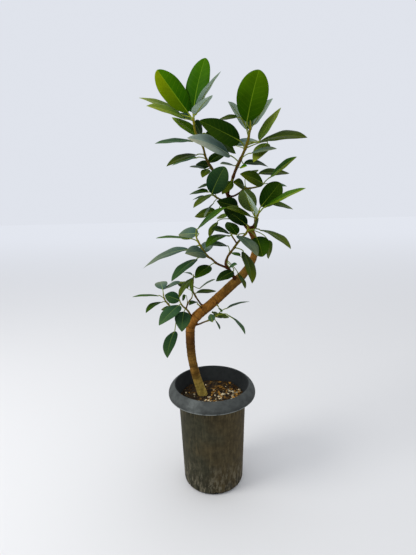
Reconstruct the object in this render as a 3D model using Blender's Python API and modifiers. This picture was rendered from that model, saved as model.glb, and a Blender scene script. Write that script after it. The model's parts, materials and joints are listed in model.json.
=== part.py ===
"""A potted Port Jackson fig: a plastic nursery pot, its soil, a bent woody trunk and its leafy shoots.

Metres, +Z up. The origin is the middle of the pot's underside, on the floor. +X is to the right
and +Y is away, seen from the front.

Stems and leaves are placed by where they show from the front: x and z are centimetres on the
upright plane through the pot's axis, as seen from EYE, and depth is how far behind that plane
(in front of it, if negative) the point really lies, in centimetres.
"""
import math
import random

import bmesh
import bpy
from mathutils import Matrix, Vector, noise

CM = 0.01
GAP = 0.0003
EYE = Vector((0.0, -0.923, 0.752))

WELD = 0.00001
SEARCH_STEPS = 10

# Pot. The collar is an outline of radius and height: from the mouth over the lip and down its
# outer side to the lower edge, then back up its inner side to the wall.
MOUTH_R = 0.0875
MOUTH_Z = 0.2575
NECK_R = 0.081
NECK_Z = 0.224
FOOT_R = 0.074
FOOT_Z = 0.010
FOOT_ROUND = 0.006
HALF_WAY_Z = 0.12
WALL = 0.0025
FLOOR_T = 0.003
COLLAR = (
    (0.0883, 0.2603),
    (0.0903, 0.2615),
    (0.0935, 0.2599),
    (0.0985, 0.2555),
    (0.1028, 0.2490),
    (0.1050, 0.2425),
    (0.1050, 0.2367),
    (0.1038, 0.2355),
    (0.1020, 0.2363),
    (0.1018, 0.2420),
    (0.0975, 0.2505),
    (0.0912, 0.2535),
    (0.0868, 0.2500),
    (0.0834, 0.2380),
)
POT_STEPS = 28
DRAINS = 6
DRAIN_R = 0.0042
DRAIN_Z = 0.0045
DRAIN_DEEP = 0.012

# Soil
SOIL_Z = 0.2265
SOIL_ROUGH = 0.0016
SOIL_WAVES = 60.0
SOIL_EDGE = 0.0015
SOIL_RINGS = (0.24, 0.46, 0.66, 0.84, 0.98)
GRAINS = 30
GRAIN_R = (0.0022, 0.0036)
GRAIN_SHAPE = (1.3, 0.9, 0.75, 1.0)
GRAIN_APART = 0.0015
TRUNK_CLEAR = 0.0200
HOLE_TOP = 0.02

# Leaves
BLADE_T = 0.0008
WIDTH_RATIO = 0.52
# How blunt a blade's base and tip are: blunt, oval, egg-shaped or lance-shaped. Less is blunter.
FORMS = {"b": (0.62, 0.60), "o": (0.50, 0.78), "e": (0.62, 0.92), "l": (0.80, 0.95)}
FOLD = math.radians(11.0)
PETIOLE_REACH = 1.4
PETIOLE_R = 0.0011
PETIOLE_LEAST = 0.0008
PETIOLE_BOW = 0.35
PETIOLE_RISE = 0.25
PETIOLE_PARTS = 2
STATIONS = {
    0.05: (0.0, 0.28, 0.72, 1.0),
    0.08: (0.0, 0.16, 0.48, 0.84, 1.0),
    0.20: (0.0, 0.12, 0.38, 0.68, 0.91, 1.0),
}

# Wood. A stub is the short woody foot that a shoot's stem stands on.
STUB = 0.0025
FORK_STUB = 0.0065
STUB_SWELL = 1.15
LEADER_CUT = 0.006
TRUNK_SIDES = 12
STUB_SIDES = 8
STEM_SIDES = 6
PETIOLE_SIDES = 4
KNOT_CLEAR = 0.2

# The trunk and its leader: x, z, depth in centimetres, and radius in millimetres.
TRUNK = (
    (-0.9, 16.0, 1.0, 11.0),
    (-1.4, 19.0, 0.9, 12.2),
    (-2.1, 22.2, 0.8, 12.6),
    (-2.9, 25.0, 0.6, 11.0),
    (-3.8, 28.2, 0.4, 10.4),
    (-4.5, 31.8, 0.2, 10.2),
    (-4.8, 35.0, 0.0, 10.4),
    (-4.85, 37.6, -0.2, 10.9),
    (-4.75, 40.0, -0.3, 10.6),
    (-4.3, 41.6, -0.4, 11.0),
    (-3.3, 43.0, -0.5, 11.8),
    (-1.9, 44.3, -0.5, 11.6),
    (0.0, 45.8, -0.4, 11.2),
    (2.5, 48.05, 0.0, 11.0),
    (5.0, 50.4, 0.6, 11.0),
    (6.8, 52.0, 1.0, 10.6),
    (8.2, 53.6, 1.3, 9.6),
    (9.4, 55.4, 1.5, 8.6),
    (10.2, 57.4, 1.6, 8.0),
    (10.4, 59.3, 1.5, 7.4),
    (10.1, 61.2, 1.3, 7.2),
    (9.3, 62.9, 1.1, 7.2),
    (8.4, 63.9, 1.6, 5.0),
    (7.2, 65.5, 2.3, 4.4),
    (5.6, 68.0, 2.9, 4.2),
    (4.5, 70.2, 3.0, 4.1),
    (4.4, 71.4, 2.9, 3.9),
    (5.0, 72.8, 2.5, 3.6),
    (5.4, 74.0, 2.2, 3.4),
)

# The woody foot of the forked branch that leaves the trunk half way up.
BRANCH = (
    (5.9, 51.6, 0.8, 4.6),
    (5.4, 52.6, -0.5, 3.9),
    (4.8, 53.6, -1.2, 3.6),
    (4.3, 54.4, -1.6, 3.9),
)

# Each shoot's stem: x, z, depth in centimetres, and radius in millimetres. It starts inside the
# wood that carries it.
STEMS = {
    "shoot_crown_left": (
        (4.4, 70.9, 3.0, 3.0),
        (3.3, 72.6, 3.4, 2.7),
        (2.0, 74.8, 3.6, 2.6),
        (0.8, 76.7, 3.6, 2.9),
        (-0.2, 78.6, 3.3, 2.4),
        (-0.7, 80.6, 2.9, 2.3),
        (-1.3, 82.2, 2.6, 2.3),
        (-2.2, 83.6, 2.2, 2.5),
        (-2.55, 85.2, 1.8, 2.3),
        (-2.6, 86.6, 1.5, 2.0),
        (-2.6, 88.0, 1.4, 0.5),
    ),
    "shoot_crown_right": (
        (5.0, 72.8, 2.5, 3.5),
        (5.4, 74.0, 2.2, 3.4),
        (5.85, 75.3, 1.9, 3.3),
        (6.5, 76.8, 1.5, 3.4),
        (7.1, 78.0, 1.2, 3.2),
        (7.95, 79.8, 0.8, 2.9),
        (8.4, 80.9, 0.6, 2.8),
        (8.85, 82.4, 0.4, 2.4),
        (9.2, 84.3, 0.2, 2.1),
        (9.2, 86.0, 0.2, 0.5),
    ),
    "shoot_upper_left": (
        (4.9, 69.3, 3.0, 2.4),
        (3.9, 69.5, 2.4, 2.2),
        (2.8, 69.8, 1.9, 2.0),
        (1.7, 70.4, 1.5, 1.9),
        (0.9, 71.2, 1.2, 0.6),
    ),
    "shoot_upper_right": (
        (4.6, 70.4, 3.0, 2.6),
        (5.7, 70.5, 3.6, 2.2),
        (7.0, 71.2, 4.0, 2.1),
        (8.0, 72.0, 4.2, 2.0),
        (9.5, 72.1, 4.3, 2.0),
        (11.4, 72.5, 4.2, 1.9),
        (12.3, 73.1, 4.1, 0.6),
    ),
    "shoot_fork_right": (
        (9.3, 62.9, 1.1, 4.6),
        (9.9, 63.6, 0.9, 4.1),
        (10.4, 64.5, 0.7, 3.4),
        (10.5, 65.4, 0.6, 3.0),
        (10.9, 66.3, 0.5, 2.4),
        (11.3, 67.4, 0.5, 0.6),
    ),
    "shoot_inner_right": (
        (4.3, 54.4, -1.6, 2.7),
        (3.75, 55.3, -2.0, 3.1),
        (3.9, 56.2, -2.3, 2.7),
        (4.2, 57.1, -2.6, 2.5),
        (4.8, 58.0, -2.8, 2.5),
        (5.6, 59.0, -2.9, 2.5),
        (6.3, 60.0, -2.8, 2.6),
        (7.3, 61.2, -2.4, 2.4),
        (8.1, 62.0, -2.0, 2.4),
        (8.6, 62.7, -1.8, 2.2),
        (8.8, 63.8, -1.7, 0.6),
    ),
    "shoot_inner_left": (
        (4.3, 54.4, -1.6, 2.5),
        (2.7, 55.1, -2.0, 2.6),
        (1.55, 55.7, -2.4, 2.5),
        (0.65, 56.6, -2.7, 2.4),
        (-0.35, 57.3, -2.9, 2.5),
        (-1.1, 58.4, -3.0, 2.1),
        (-1.75, 59.5, -2.9, 2.1),
        (-2.5, 61.0, -2.7, 2.0),
        (-2.9, 62.2, -2.6, 0.6),
    ),
    "shoot_low_left": (
        (-1.2, 45.0, -0.45, 2.6),
        (-2.1, 46.0, 0.6, 2.3),
        (-2.75, 47.0, 1.2, 2.1),
        (-3.35, 48.0, 1.8, 2.0),
        (-3.8, 49.0, 2.1, 1.9),
        (-3.9, 50.2, 2.3, 1.8),
        (-3.75, 51.6, 2.4, 1.7),
        (-3.6, 53.2, 2.4, 0.6),
    ),
    "shoot_low_front": (
        (-4.1, 42.3, -0.45, 2.8),
        (-5.0, 44.2, -1.6, 2.2),
        (-5.6, 44.95, -2.0, 2.1),
        (-6.4, 45.7, -2.5, 2.0),
        (-7.1, 47.0, -2.8, 0.6),
    ),
    "shoot_far_left": (
        (-4.7, 40.6, -0.35, 2.6),
        (-5.9, 42.7, 0.5, 2.3),
        (-7.3, 43.95, 0.9, 2.1),
        (-8.1, 44.5, 1.2, 2.0),
        (-9.05, 45.4, 1.5, 2.1),
        (-10.0, 46.6, 1.7, 1.8),
        (-10.5, 47.5, 1.8, 1.7),
        (-10.75, 48.9, 1.8, 0.6),
    ),
    "shoot_low_right": (
        (-4.45, 41.0, -0.35, 2.4),
        (-2.85, 41.1, -0.9, 2.1),
        (-1.6, 41.6, -1.1, 1.9),
        (-0.5, 42.0, -1.3, 1.8),
        (0.4, 42.5, -1.5, 1.7),
        (1.2, 43.0, -1.6, 1.6),
        (1.9, 43.6, -1.6, 0.6),
    ),
    "sprout_leader": (
        (7.0, 65.8, 2.4, 1.8),
        (5.9, 65.7, 1.9, 1.6),
        (4.7, 65.5, 1.6, 0.9),
    ),
    "sprout_trunk_top": (
        (9.3, 55.2, 1.5, 1.7),
        (8.4, 55.5, 0.2, 1.5),
        (7.6, 56.3, -0.3, 1.2),
    ),
    "sprout_bend": (
        (-1.6, 44.6, -0.5, 1.9),
        (-2.4, 45.6, -1.6, 1.6),
        (-3.0, 46.2, -1.9, 1.2),
    ),
    "sprout_under": (
        (1.3, 47.0, -0.2, 1.6),
        (1.6, 45.9, -1.6, 1.4),
        (2.0, 45.2, -2.0, 1.2),
    ),
}

# Side twigs that are fused to a shoot's stem.
SIDE_TWIGS = {
    "shoot_inner_right": (
        (6.3, 60.0, -2.8, 2.0),
        (5.8, 60.8, -3.1, 1.8),
        (5.3, 61.6, -3.4, 1.7),
        (4.8, 62.6, -3.6, 0.6),
    ),
    "shoot_low_front": (
        (-5.6, 44.95, -2.0, 1.8),
        (-5.05, 46.5, -2.2, 1.6),
        (-4.2, 47.6, -2.3, 1.5),
        (-4.0, 48.6, -2.3, 0.6),
    ),
}

# Leaves, in centimetres: where the petiole leaves the stem, where the blade starts and ends, the
# blade's real length, its width as it shows, how it faces (its tip is Near or Far, its upper or
# lower side shows) with the form of its outline, how far it arches (percent of its length), and
# a shift in depth.
LEAVES = {
    "shoot_crown_left": (
        ((-2.7, 85.9), (-3.7, 87.7), (-9.7, 96.0), 10.7, 5.0, "Fub", 3, 0.0),
        ((-2.6, 86.6), (-2.6, 87.7), (0.1, 98.0), 11.0, 4.7, "Fub", 3, 0.6),
        ((-2.6, 86.8), (-2.1, 87.9), (3.3, 95.5), 9.8, 1.1, "Nll", 4, -0.9),
        ((-2.6, 86.4), (-2.1, 87.4), (1.4, 91.0), 7.6, 1.7, "Nle", 4, -1.5),
        ((-2.6, 86.5), (-5.2, 87.4), (-13.8, 90.8), 9.6, 1.2, "Ful", 5, 0.6),
        ((-2.6, 86.0), (-4.4, 86.6), (-12.3, 89.2), 9.0, 1.5, "Nul", 5, -0.4),
        ((-2.0, 83.0), (-2.3, 83.2), (-7.1, 86.9), 7.5, 2.0, "Fue", 6, 0.3),
        ((-2.6, 86.0), (-2.5, 85.9), (-1.0, 82.6), 6.5, 2.1, "Fue", 5, 0.6),
        ((-2.6, 86.2), (-3.2, 86.4), (-6.4, 87.5), 5.0, 1.5, "Fue", 5, 1.5),
        ((-0.8, 81.1), (-2.9, 82.1), (-11.0, 81.7), 8.5, 1.0, "Nul", 3, 0.0),
        ((-1.3, 82.4), (-0.2, 83.5), (6.2, 79.3), 9.0, 3.0, "Fue", 5, 1.0),
        ((0.7, 76.8), (0.6, 76.9), (-2.4, 77.3), 4.5, 2.0, "Fue", 6, 0.4),
        ((0.9, 76.5), (-0.2, 76.3), (-3.8, 76.8), 4.3, 0.5, "Nul", 4, -0.3),
        ((1.0, 76.3), (0.1, 76.2), (-1.1, 74.5), 4.0, 1.8, "Nue", 6, -0.3),
        ((-0.4, 79.2), (-2.2, 79.3), (-8.7, 77.0), 7.4, 1.5, "Nul", 8, 0.0),
        ((-0.1, 78.3), (-2.2, 78.7), (-7.6, 77.1), 6.8, 1.0, "Ful", 6, 0.5),
        ((0.7, 77.0), (0.5, 77.6), (4.2, 79.6), 5.5, 2.0, "Fue", 6, 0.3),
        ((-2.6, 86.8), (-2.5, 87.8), (-1.2, 92.4), 9.4, 3.6, "Fub", 6, 1.5),
    ),
    "shoot_crown_right": (
        ((6.8, 77.5), (4.9, 79.0), (-4.1, 82.7), 10.8, 2.9, "Nue", 6, -0.2),
        ((8.1, 80.2), (7.0, 81.9), (-1.4, 86.1), 9.9, 4.3, "Nuo", 4, 0.0),
        ((9.3, 84.2), (8.5, 85.6), (11.0, 95.6), 10.6, 6.6, "Fub", 3, 0.3),
        ((8.8, 82.4), (8.5, 84.4), (4.6, 89.7), 8.0, 1.9, "Fle", 4, 1.0),
        ((9.3, 84.0), (9.9, 85.1), (13.9, 90.1), 7.0, 1.8, "Fle", 4, 1.4),
        ((8.6, 81.6), (11.2, 81.9), (15.6, 88.3), 8.4, 1.9, "Fue", 4, 0.5),
        ((8.4, 80.9), (11.1, 81.6), (21.3, 82.2), 10.8, 1.9, "Nul", 7, -0.3),
        ((8.1, 80.3), (12.8, 81.3), (9.9, 77.5), 6.4, 2.7, "Nue", 6, 2.0),
        ((7.1, 78.0), (9.4, 79.4), (14.9, 80.1), 6.2, 0.9, "Nul", 4, -1.4),
        ((7.3, 78.3), (7.9, 77.2), (13.2, 76.3), 6.2, 1.1, "Fue", 12, 0.3),
        ((6.6, 77.0), (5.8, 76.9), (2.8, 77.3), 4.4, 0.6, "Nul", 4, -0.3),
        ((6.6, 76.6), (7.1, 76.5), (8.6, 76.7), 2.4, 0.8, "Nue", 6, -0.2),
        ((5.6, 74.6), (5.2, 73.6), (3.1, 70.9), 4.4, 2.2, "Nue", 6, 0.5),
        ((8.8, 82.2), (9.4, 84.3), (10.2, 87.6), 8.6, 3.0, "Fub", 6, 2.5),
        ((8.9, 82.6), (6.6, 86.6), (2.6, 86.2), 4.6, 1.0, "Ful", 5, 1.4),
        ((8.1, 80.2), (6.3, 81.1), (10.9, 81.8), 5.2, 1.7, "Fue", 5, 1.2),
    ),
    "shoot_upper_left": (
        ((1.3, 70.8), (0.9, 71.1), (3.8, 76.7), 7.0, 4.5, "Nub", 4, -1.7),
        ((1.4, 70.6), (0.9, 71.0), (-3.2, 68.1), 6.0, 1.3, "Nul", 6, 0.0),
        ((1.2, 70.9), (0.2, 72.9), (-2.2, 72.3), 4.0, 0.7, "Ful", 4, 0.8),
        ((1.1, 71.0), (0.1, 71.5), (-4.0, 71.0), 5.6, 1.0, "Ful", 6, 0.3),
        ((1.5, 70.5), (-0.8, 70.6), (-3.35, 69.8), 3.6, 0.4, "Ful", 4, 0.9),
        ((3.9, 69.5), (6.5, 68.3), (1.9, 69.5), 5.8, 3.2, "Nue", 6, -0.4),
        ((2.2, 70.1), (1.2, 69.1), (-0.9, 65.8), 4.6, 0.5, "Nul", 4, -0.4),
        ((3.2, 69.6), (1.7, 67.2), (-3.0, 66.2), 5.8, 2.1, "Fue", 5, 0.0),
        ((1.9, 70.3), (1.7, 71.4), (2.6, 74.6), 7.0, 2.8, "Fub", 6, 1.4),
    ),
    "shoot_upper_right": (
        ((11.4, 72.5), (12.0, 73.0), (7.0, 75.1), 6.8, 2.8, "Nue", 5, -0.8),
        ((8.2, 72.1), (8.4, 74.4), (11.0, 75.9), 4.6, 1.2, "Fue", 5, 0.3),
        ((8.0, 72.0), (7.9, 72.6), (5.5, 73.4), 4.8, 2.1, "Nue", 6, 0.0),
        ((11.5, 72.6), (11.0, 75.1), (17.7, 75.0), 7.6, 1.6, "Ful", 4, 0.2),
        ((11.9, 72.9), (13.5, 74.3), (19.2, 78.4), 7.8, 1.5, "Nul", 3, -0.6),
        ((11.8, 72.8), (13.4, 72.9), (17.2, 72.3), 5.2, 0.9, "Ful", 5, 1.2),
        ((9.2, 72.1), (9.2, 71.6), (8.0, 70.1), 6.8, 2.8, "Fub", 6, 0.8),
    ),
    "shoot_fork_right": (
        ((10.6, 65.6), (12.5, 68.0), (21.3, 71.8), 10.2, 1.3, "Nul", 3, -0.3),
        ((10.9, 66.3), (13.8, 68.5), (18.7, 67.3), 6.2, 1.1, "Ful", 7, -1.0),
        ((10.9, 66.4), (11.6, 68.1), (15.7, 73.1), 7.8, 4.6, "Fub", 4, 0.6),
        ((10.4, 65.3), (9.7, 67.0), (7.9, 71.8), 7.4, 3.8, "Nlb", 4, 0.0),
        ((10.3, 65.0), (9.5, 66.0), (3.9, 68.0), 7.0, 1.3, "Nul", 4, -1.6),
        ((10.5, 65.8), (10.9, 65.5), (10.6, 63.2), 3.2, 0.8, "Nue", 4, -0.4),
        ((10.6, 65.9), (10.3, 66.4), (7.9, 71.6), 7.6, 0.9, "Nll", 4, -3.3),
    ),
    "shoot_inner_right": (
        ((8.6, 62.9), (8.5, 64.1), (3.4, 67.7), 6.8, 2.8, "Fue", 5, 0.0),
        ((8.6, 62.8), (11.5, 63.0), (18.4, 58.5), 8.8, 1.4, "Nul", 8, 0.0),
        ((8.2, 62.2), (6.7, 61.8), (10.9, 57.0), 8.0, 2.2, "Nue", 6, -1.0),
        ((8.7, 63.1), (10.6, 61.4), (12.1, 56.9), 7.4, 4.3, "Nub", 5, 0.6),
        ((8.7, 63.2), (13.1, 60.5), (13.4, 56.4), 5.8, 1.6, "Fue", 5, 1.6),
        ((5.7, 59.1), (7.8, 58.1), (9.7, 50.7), 8.4, 2.3, "Nue", 4, 0.0),
        ((4.7, 57.9), (4.1, 59.6), (0.3, 59.7), 5.2, 1.2, "Nul", 6, 0.2),
        ((3.9, 56.1), (4.6, 54.8), (6.35, 55.3), 2.8, 0.9, "Nue", 4, -0.5),
        ((3.85, 56.0), (5.4, 53.7), (1.45, 51.4), 5.2, 2.2, "Nue", 5, -1.2),
        ((3.95, 56.3), (6.6, 53.1), (8.1, 49.5), 4.6, 1.0, "Nue", 4, -1.2),
        ((5.0, 62.2), (6.3, 62.1), (4.1, 64.9), 5.6, 2.5, "Fue", 6, 0.2),
        ((5.1, 62.0), (4.5, 62.5), (0.6, 63.2), 5.4, 1.3, "Nue", 6, 0.0),
        ((5.3, 61.7), (4.6, 61.8), (-0.7, 59.2), 7.4, 1.6, "Nul", 13, -0.3),
    ),
    "shoot_inner_left": (
        ((-2.75, 61.7), (-2.4, 63.6), (4.0, 68.1), 8.4, 1.2, "Nul", 3, 0.0),
        ((-2.7, 61.6), (-2.3, 62.5), (-6.7, 62.3), 6.4, 2.8, "Fue", 5, 0.4),
        ((-2.4, 60.6), (-4.3, 61.4), (-11.8, 61.6), 7.8, 0.5, "Nul", 3, 0.0),
        ((-1.9, 59.8), (-4.6, 59.0), (-15.05, 54.7), 12.2, 1.5, "Ful", 7, 0.4),
        ((-0.6, 57.7), (-0.8, 57.8), (-5.4, 58.0), 6.6, 2.7, "Nue", 6, -0.4),
        ((-0.3, 57.3), (-2.9, 56.7), (-8.7, 51.6), 8.4, 2.0, "Nue", 6, 0.3),
        ((1.5, 55.8), (0.1, 55.1), (-3.3, 52.2), 5.8, 2.6, "Nue", 5, 0.0),
        ((-1.3, 58.7), (-1.5, 58.1), (1.0, 60.9), 5.2, 2.4, "Fue", 5, 0.6),
    ),
    "shoot_low_left": (
        ((-3.7, 48.8), (-5.1, 49.9), (-7.3, 51.5), 4.8, 1.8, "Fue", 5, 0.4),
        ((-3.7, 52.2), (-3.5, 52.6), (-7.1, 47.6), 6.8, 1.3, "Nul", 7, -0.4),
        ((-3.6, 52.6), (-4.0, 53.1), (-5.9, 53.6), 3.0, 0.4, "Ful", 8, 0.2),
        ((-3.3, 47.9), (-3.1, 48.8), (1.55, 49.1), 5.4, 1.1, "Ful", 4, 0.6),
        ((-3.9, 50.4), (-2.3, 49.9), (1.4, 51.9), 5.0, 0.4, "Nul", 4, -0.3),
        ((-3.8, 51.2), (-6.6, 51.3), (-10.8, 49.7), 5.8, 1.0, "Ful", 5, 0.6),
        ((-3.9, 50.0), (-4.6, 50.6), (-6.2, 50.6), 5.6, 2.2, "Fub", 6, 1.6),
    ),
    "shoot_low_front": (
        ((-6.9, 46.5), (-7.0, 47.1), (-10.4, 48.4), 5.0, 2.8, "Fue", 5, -1.0),
        ((-6.7, 46.1), (-7.2, 45.9), (-12.1, 41.0), 7.6, 2.9, "Nue", 6, 0.0),
        ((-5.6, 45.0), (-6.1, 44.3), (-6.8, 39.3), 6.6, 3.6, "Nue", 5, -0.4),
        ((-4.0, 48.3), (-4.1, 48.9), (-3.7, 52.2), 4.4, 1.1, "Nue", 5, -0.2),
        ((-5.2, 46.2), (-5.6, 48.2), (-6.4, 47.0), 2.6, 0.9, "Fue", 5, 1.0),
    ),
    "shoot_far_left": (
        ((-10.7, 48.4), (-10.8, 49.8), (-11.3, 51.6), 6.2, 3.2, "Fub", 5, 0.2),
        ((-10.5, 47.5), (-11.9, 48.35), (-17.9, 48.1), 6.4, 0.55, "Nul", 2, 0.0),
        ((-10.0, 46.6), (-11.1, 46.75), (-15.0, 44.1), 5.2, 1.2, "Nul", 12, -0.2),
        ((-9.2, 45.6), (-9.5, 45.3), (-11.4, 44.9), 3.0, 0.9, "Fue", 5, 0.3),
        ((-7.8, 44.3), (-8.5, 39.5), (-10.5, 32.7), 7.4, 2.9, "Nue", 4, 0.2),
        ((-9.6, 46.1), (-9.2, 46.9), (-8.3, 48.3), 5.4, 2.2, "Fub", 6, 0.8),
    ),
    "shoot_low_right": (
        ((1.3, 43.1), (1.7, 43.1), (4.4, 42.7), 3.8, 1.2, "Fue", 5, 0.3),
        ((1.5, 43.3), (4.2, 43.2), (8.1, 38.3), 6.8, 0.7, "Nul", 8, -0.3),
        ((1.5, 43.3), (3.8, 44.9), (9.2, 46.4), 5.8, 0.5, "Ful", 5, 0.6),
        ((1.2, 43.0), (1.1, 43.6), (0.3, 43.9), 1.8, 0.6, "Nue", 5, -0.2),
        ((-0.5, 42.0), (0.5, 41.7), (0.0, 43.6), 3.2, 1.7, "Nle", 5, -0.4),
        ((0.4, 42.5), (1.2, 42.0), (2.1, 39.7), 3.0, 0.5, "Nul", 4, -0.2),
        ((0.3, 42.4), (0.9, 43.0), (2.3, 43.1), 4.6, 1.8, "Fub", 6, 0.8),
    ),
    "sprout_leader": (
        ((5.0, 65.6), (4.3, 66.2), (1.8, 65.8), 3.8, 1.1, "Fue", 5, 0.5),
        ((4.9, 65.5), (1.9, 64.9), (0.2, 61.5), 4.6, 1.4, "Nue", 6, -0.2),
    ),
    "sprout_trunk_top": (
        ((7.7, 56.2), (6.95, 57.2), (5.0, 58.0), 3.2, 0.9, "Fue", 5, 0.4),
    ),
    "sprout_bend": (
        ((-2.9, 46.1), (-3.1, 46.6), (-4.9, 45.8), 3.0, 1.0, "Nue", 12, 0.0),
    ),
    "sprout_under": (
        ((1.7, 45.7), (2.1, 45.0), (2.7, 43.9), 2.0, 0.6, "Nue", 5, 0.0),
    ),
}

PLASTIC = ((0.035, 0.042, 0.048, 1.0), 0.55)
EARTH = ((0.045, 0.028, 0.017, 1.0), 0.95)
BARK = ((0.30, 0.15, 0.055, 1.0), 0.75)
FOLIAGE = ((0.030, 0.095, 0.018, 1.0), 0.35)


def new_collection(name):
    """A collection of the scene."""
    made = bpy.data.collections.new(name)
    bpy.context.scene.collection.children.link(made)
    return made


def clear_scene():
    """Remove what the scene holds."""
    for found in list(bpy.data.objects):
        bpy.data.objects.remove(found)


def material(name, finish):
    """A Principled material with one colour and roughness."""
    colour, rough = finish
    made = bpy.data.materials.new(name)
    made.use_nodes = True
    shader = made.node_tree.nodes["Principled BSDF"]
    shader.inputs["Base Color"].default_value = colour
    shader.inputs["Roughness"].default_value = rough
    shader.inputs["Metallic"].default_value = 0.0
    return made


def mesh_object(name, mesh, where):
    """An object for a mesh, in a collection."""
    made = bpy.data.objects.new(name, mesh)
    where.objects.link(made)
    return made


def bmesh_object(name, shape, where):
    """An object for a bmesh, in a collection."""
    mesh = bpy.data.meshes.new(name)
    shape.to_mesh(mesh)
    shape.free()
    return mesh_object(name, mesh, where)


def evaluated_mesh(made):
    """The mesh of an object with its modifiers, its loose caps welded."""
    depsgraph = bpy.context.evaluated_depsgraph_get()
    depsgraph.update()
    mesh = bpy.data.meshes.new_from_object(made.evaluated_get(depsgraph))
    shape = bmesh.new()
    shape.from_mesh(mesh)
    bmesh.ops.remove_doubles(shape, verts=shape.verts, dist=WELD)
    shape.to_mesh(mesh)
    shape.free()
    return mesh


def apply(made, where):
    """A plain mesh object in place of a curve or of an object with modifiers."""
    name = made.name
    mesh = evaluated_mesh(made)
    bpy.data.objects.remove(made)
    return mesh_object(name, mesh, where)


def seen(x, z, depth):
    """The point that shows at x, z from the front and lies at that depth."""
    on_plane = Vector((x * CM, 0.0, z * CM))
    return EYE + (on_plane - EYE) * (1.0 - depth * CM / EYE.y)


def smooth_path(rows, steps):
    """Points and radii along a smooth curve through rows of x, z, depth and radius."""
    knots = [(seen(x, z, depth), radius * 0.001) for x, z, depth, radius in rows]
    last = len(knots) - 1
    path = []
    for i in range(last):
        before, start, end, after = (knots[max(i - 1, 0)], knots[i], knots[i + 1], knots[min(i + 2, last)])
        for k in range(steps):
            t = k / steps
            point = catmull(before[0], start[0], end[0], after[0], t)
            path.append((point, start[1] + (end[1] - start[1]) * t))
    path.append(knots[last])
    return path


def catmull(before, start, end, after, t):
    """A point of the Catmull-Rom curve between start and end."""
    slope_in = (end - before) * 0.5
    slope_out = (after - start) * 0.5
    rise = t * t * (3.0 - 2.0 * t)
    return (start * (1.0 - rise) + end * rise
            + slope_in * (t * (1.0 - t) ** 2) - slope_out * (t * t * (1.0 - t)))


def cut_path(path, length, gap):
    """A path in two: up to a length along it, and from a gap past that, both on one straight piece."""
    gone = 0.0
    for i in range(len(path) - 1):
        (start, start_r), (end, end_r) = path[i], path[i + 1]
        step = (end - start).length
        if gone + step > length + gap + step * KNOT_CLEAR:
            here = max((length - gone) / step, KNOT_CLEAR)
            there = here + gap / step
            cut = (start.lerp(end, here), start_r + (end_r - start_r) * here)
            go_on = (start.lerp(end, there), start_r + (end_r - start_r) * there)
            return path[:i + 1] + [cut], [go_on] + path[i + 1:]
        gone += step
    raise ValueError("the path is shorter than the cut")


def tube(name, path, sides, where, grow=0.0):
    """A closed tube along a path of points and radii."""
    curve = bpy.data.curves.new(name, "CURVE")
    curve.dimensions = "3D"
    curve.twist_mode = "MINIMUM"
    curve.bevel_depth = 0.01
    curve.bevel_resolution = (sides - 4) // 2
    curve.use_fill_caps = True
    spline = curve.splines.new("POLY")
    spline.points.add(len(path) - 1)
    for knot, (point, radius) in zip(spline.points, path):
        knot.co = (*point, 1.0)
        knot.radius = (radius + grow) / curve.bevel_depth
    return apply(mesh_object(name, curve, where), where)


def fuse(name, first, others, finish, where):
    """One body from an object and a collection of more, in place of them all."""
    join = first.modifiers.new("join", "BOOLEAN")
    join.operation = "UNION"
    join.solver = "MANIFOLD"
    join.operand_type = "COLLECTION"
    join.collection = others
    mesh = evaluated_mesh(first)
    bpy.data.objects.remove(first)
    for spent in list(others.objects):
        bpy.data.objects.remove(spent)
    bpy.data.collections.remove(others)
    made = mesh_object(name, mesh, where)
    mesh.materials.clear()
    mesh.materials.append(material(name, finish))
    mesh.shade_smooth()
    mesh.set_sharp_from_angle(angle=math.radians(40.0))
    return made


def half_width(t, base_shape, tip_shape):
    """Half a blade's width at t along it, as a part of its greatest."""
    widest = base_shape / (base_shape + tip_shape)
    peak = widest ** base_shape * (1.0 - widest) ** tip_shape
    return t ** base_shape * (1.0 - t) ** tip_shape / peak


def near_paths(paths, x, z):
    """The point of some paths that shows nearest to x, z from the front."""
    aim = (seen(x, z, 0.0) - EYE).normalized()
    points = [start.lerp(end, k / SEARCH_STEPS) for path in paths
              for (start, _), (end, _) in zip(path, path[1:]) for k in range(SEARCH_STEPS)]
    return min(points, key=lambda point: (point - EYE).cross(aim).length)


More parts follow.
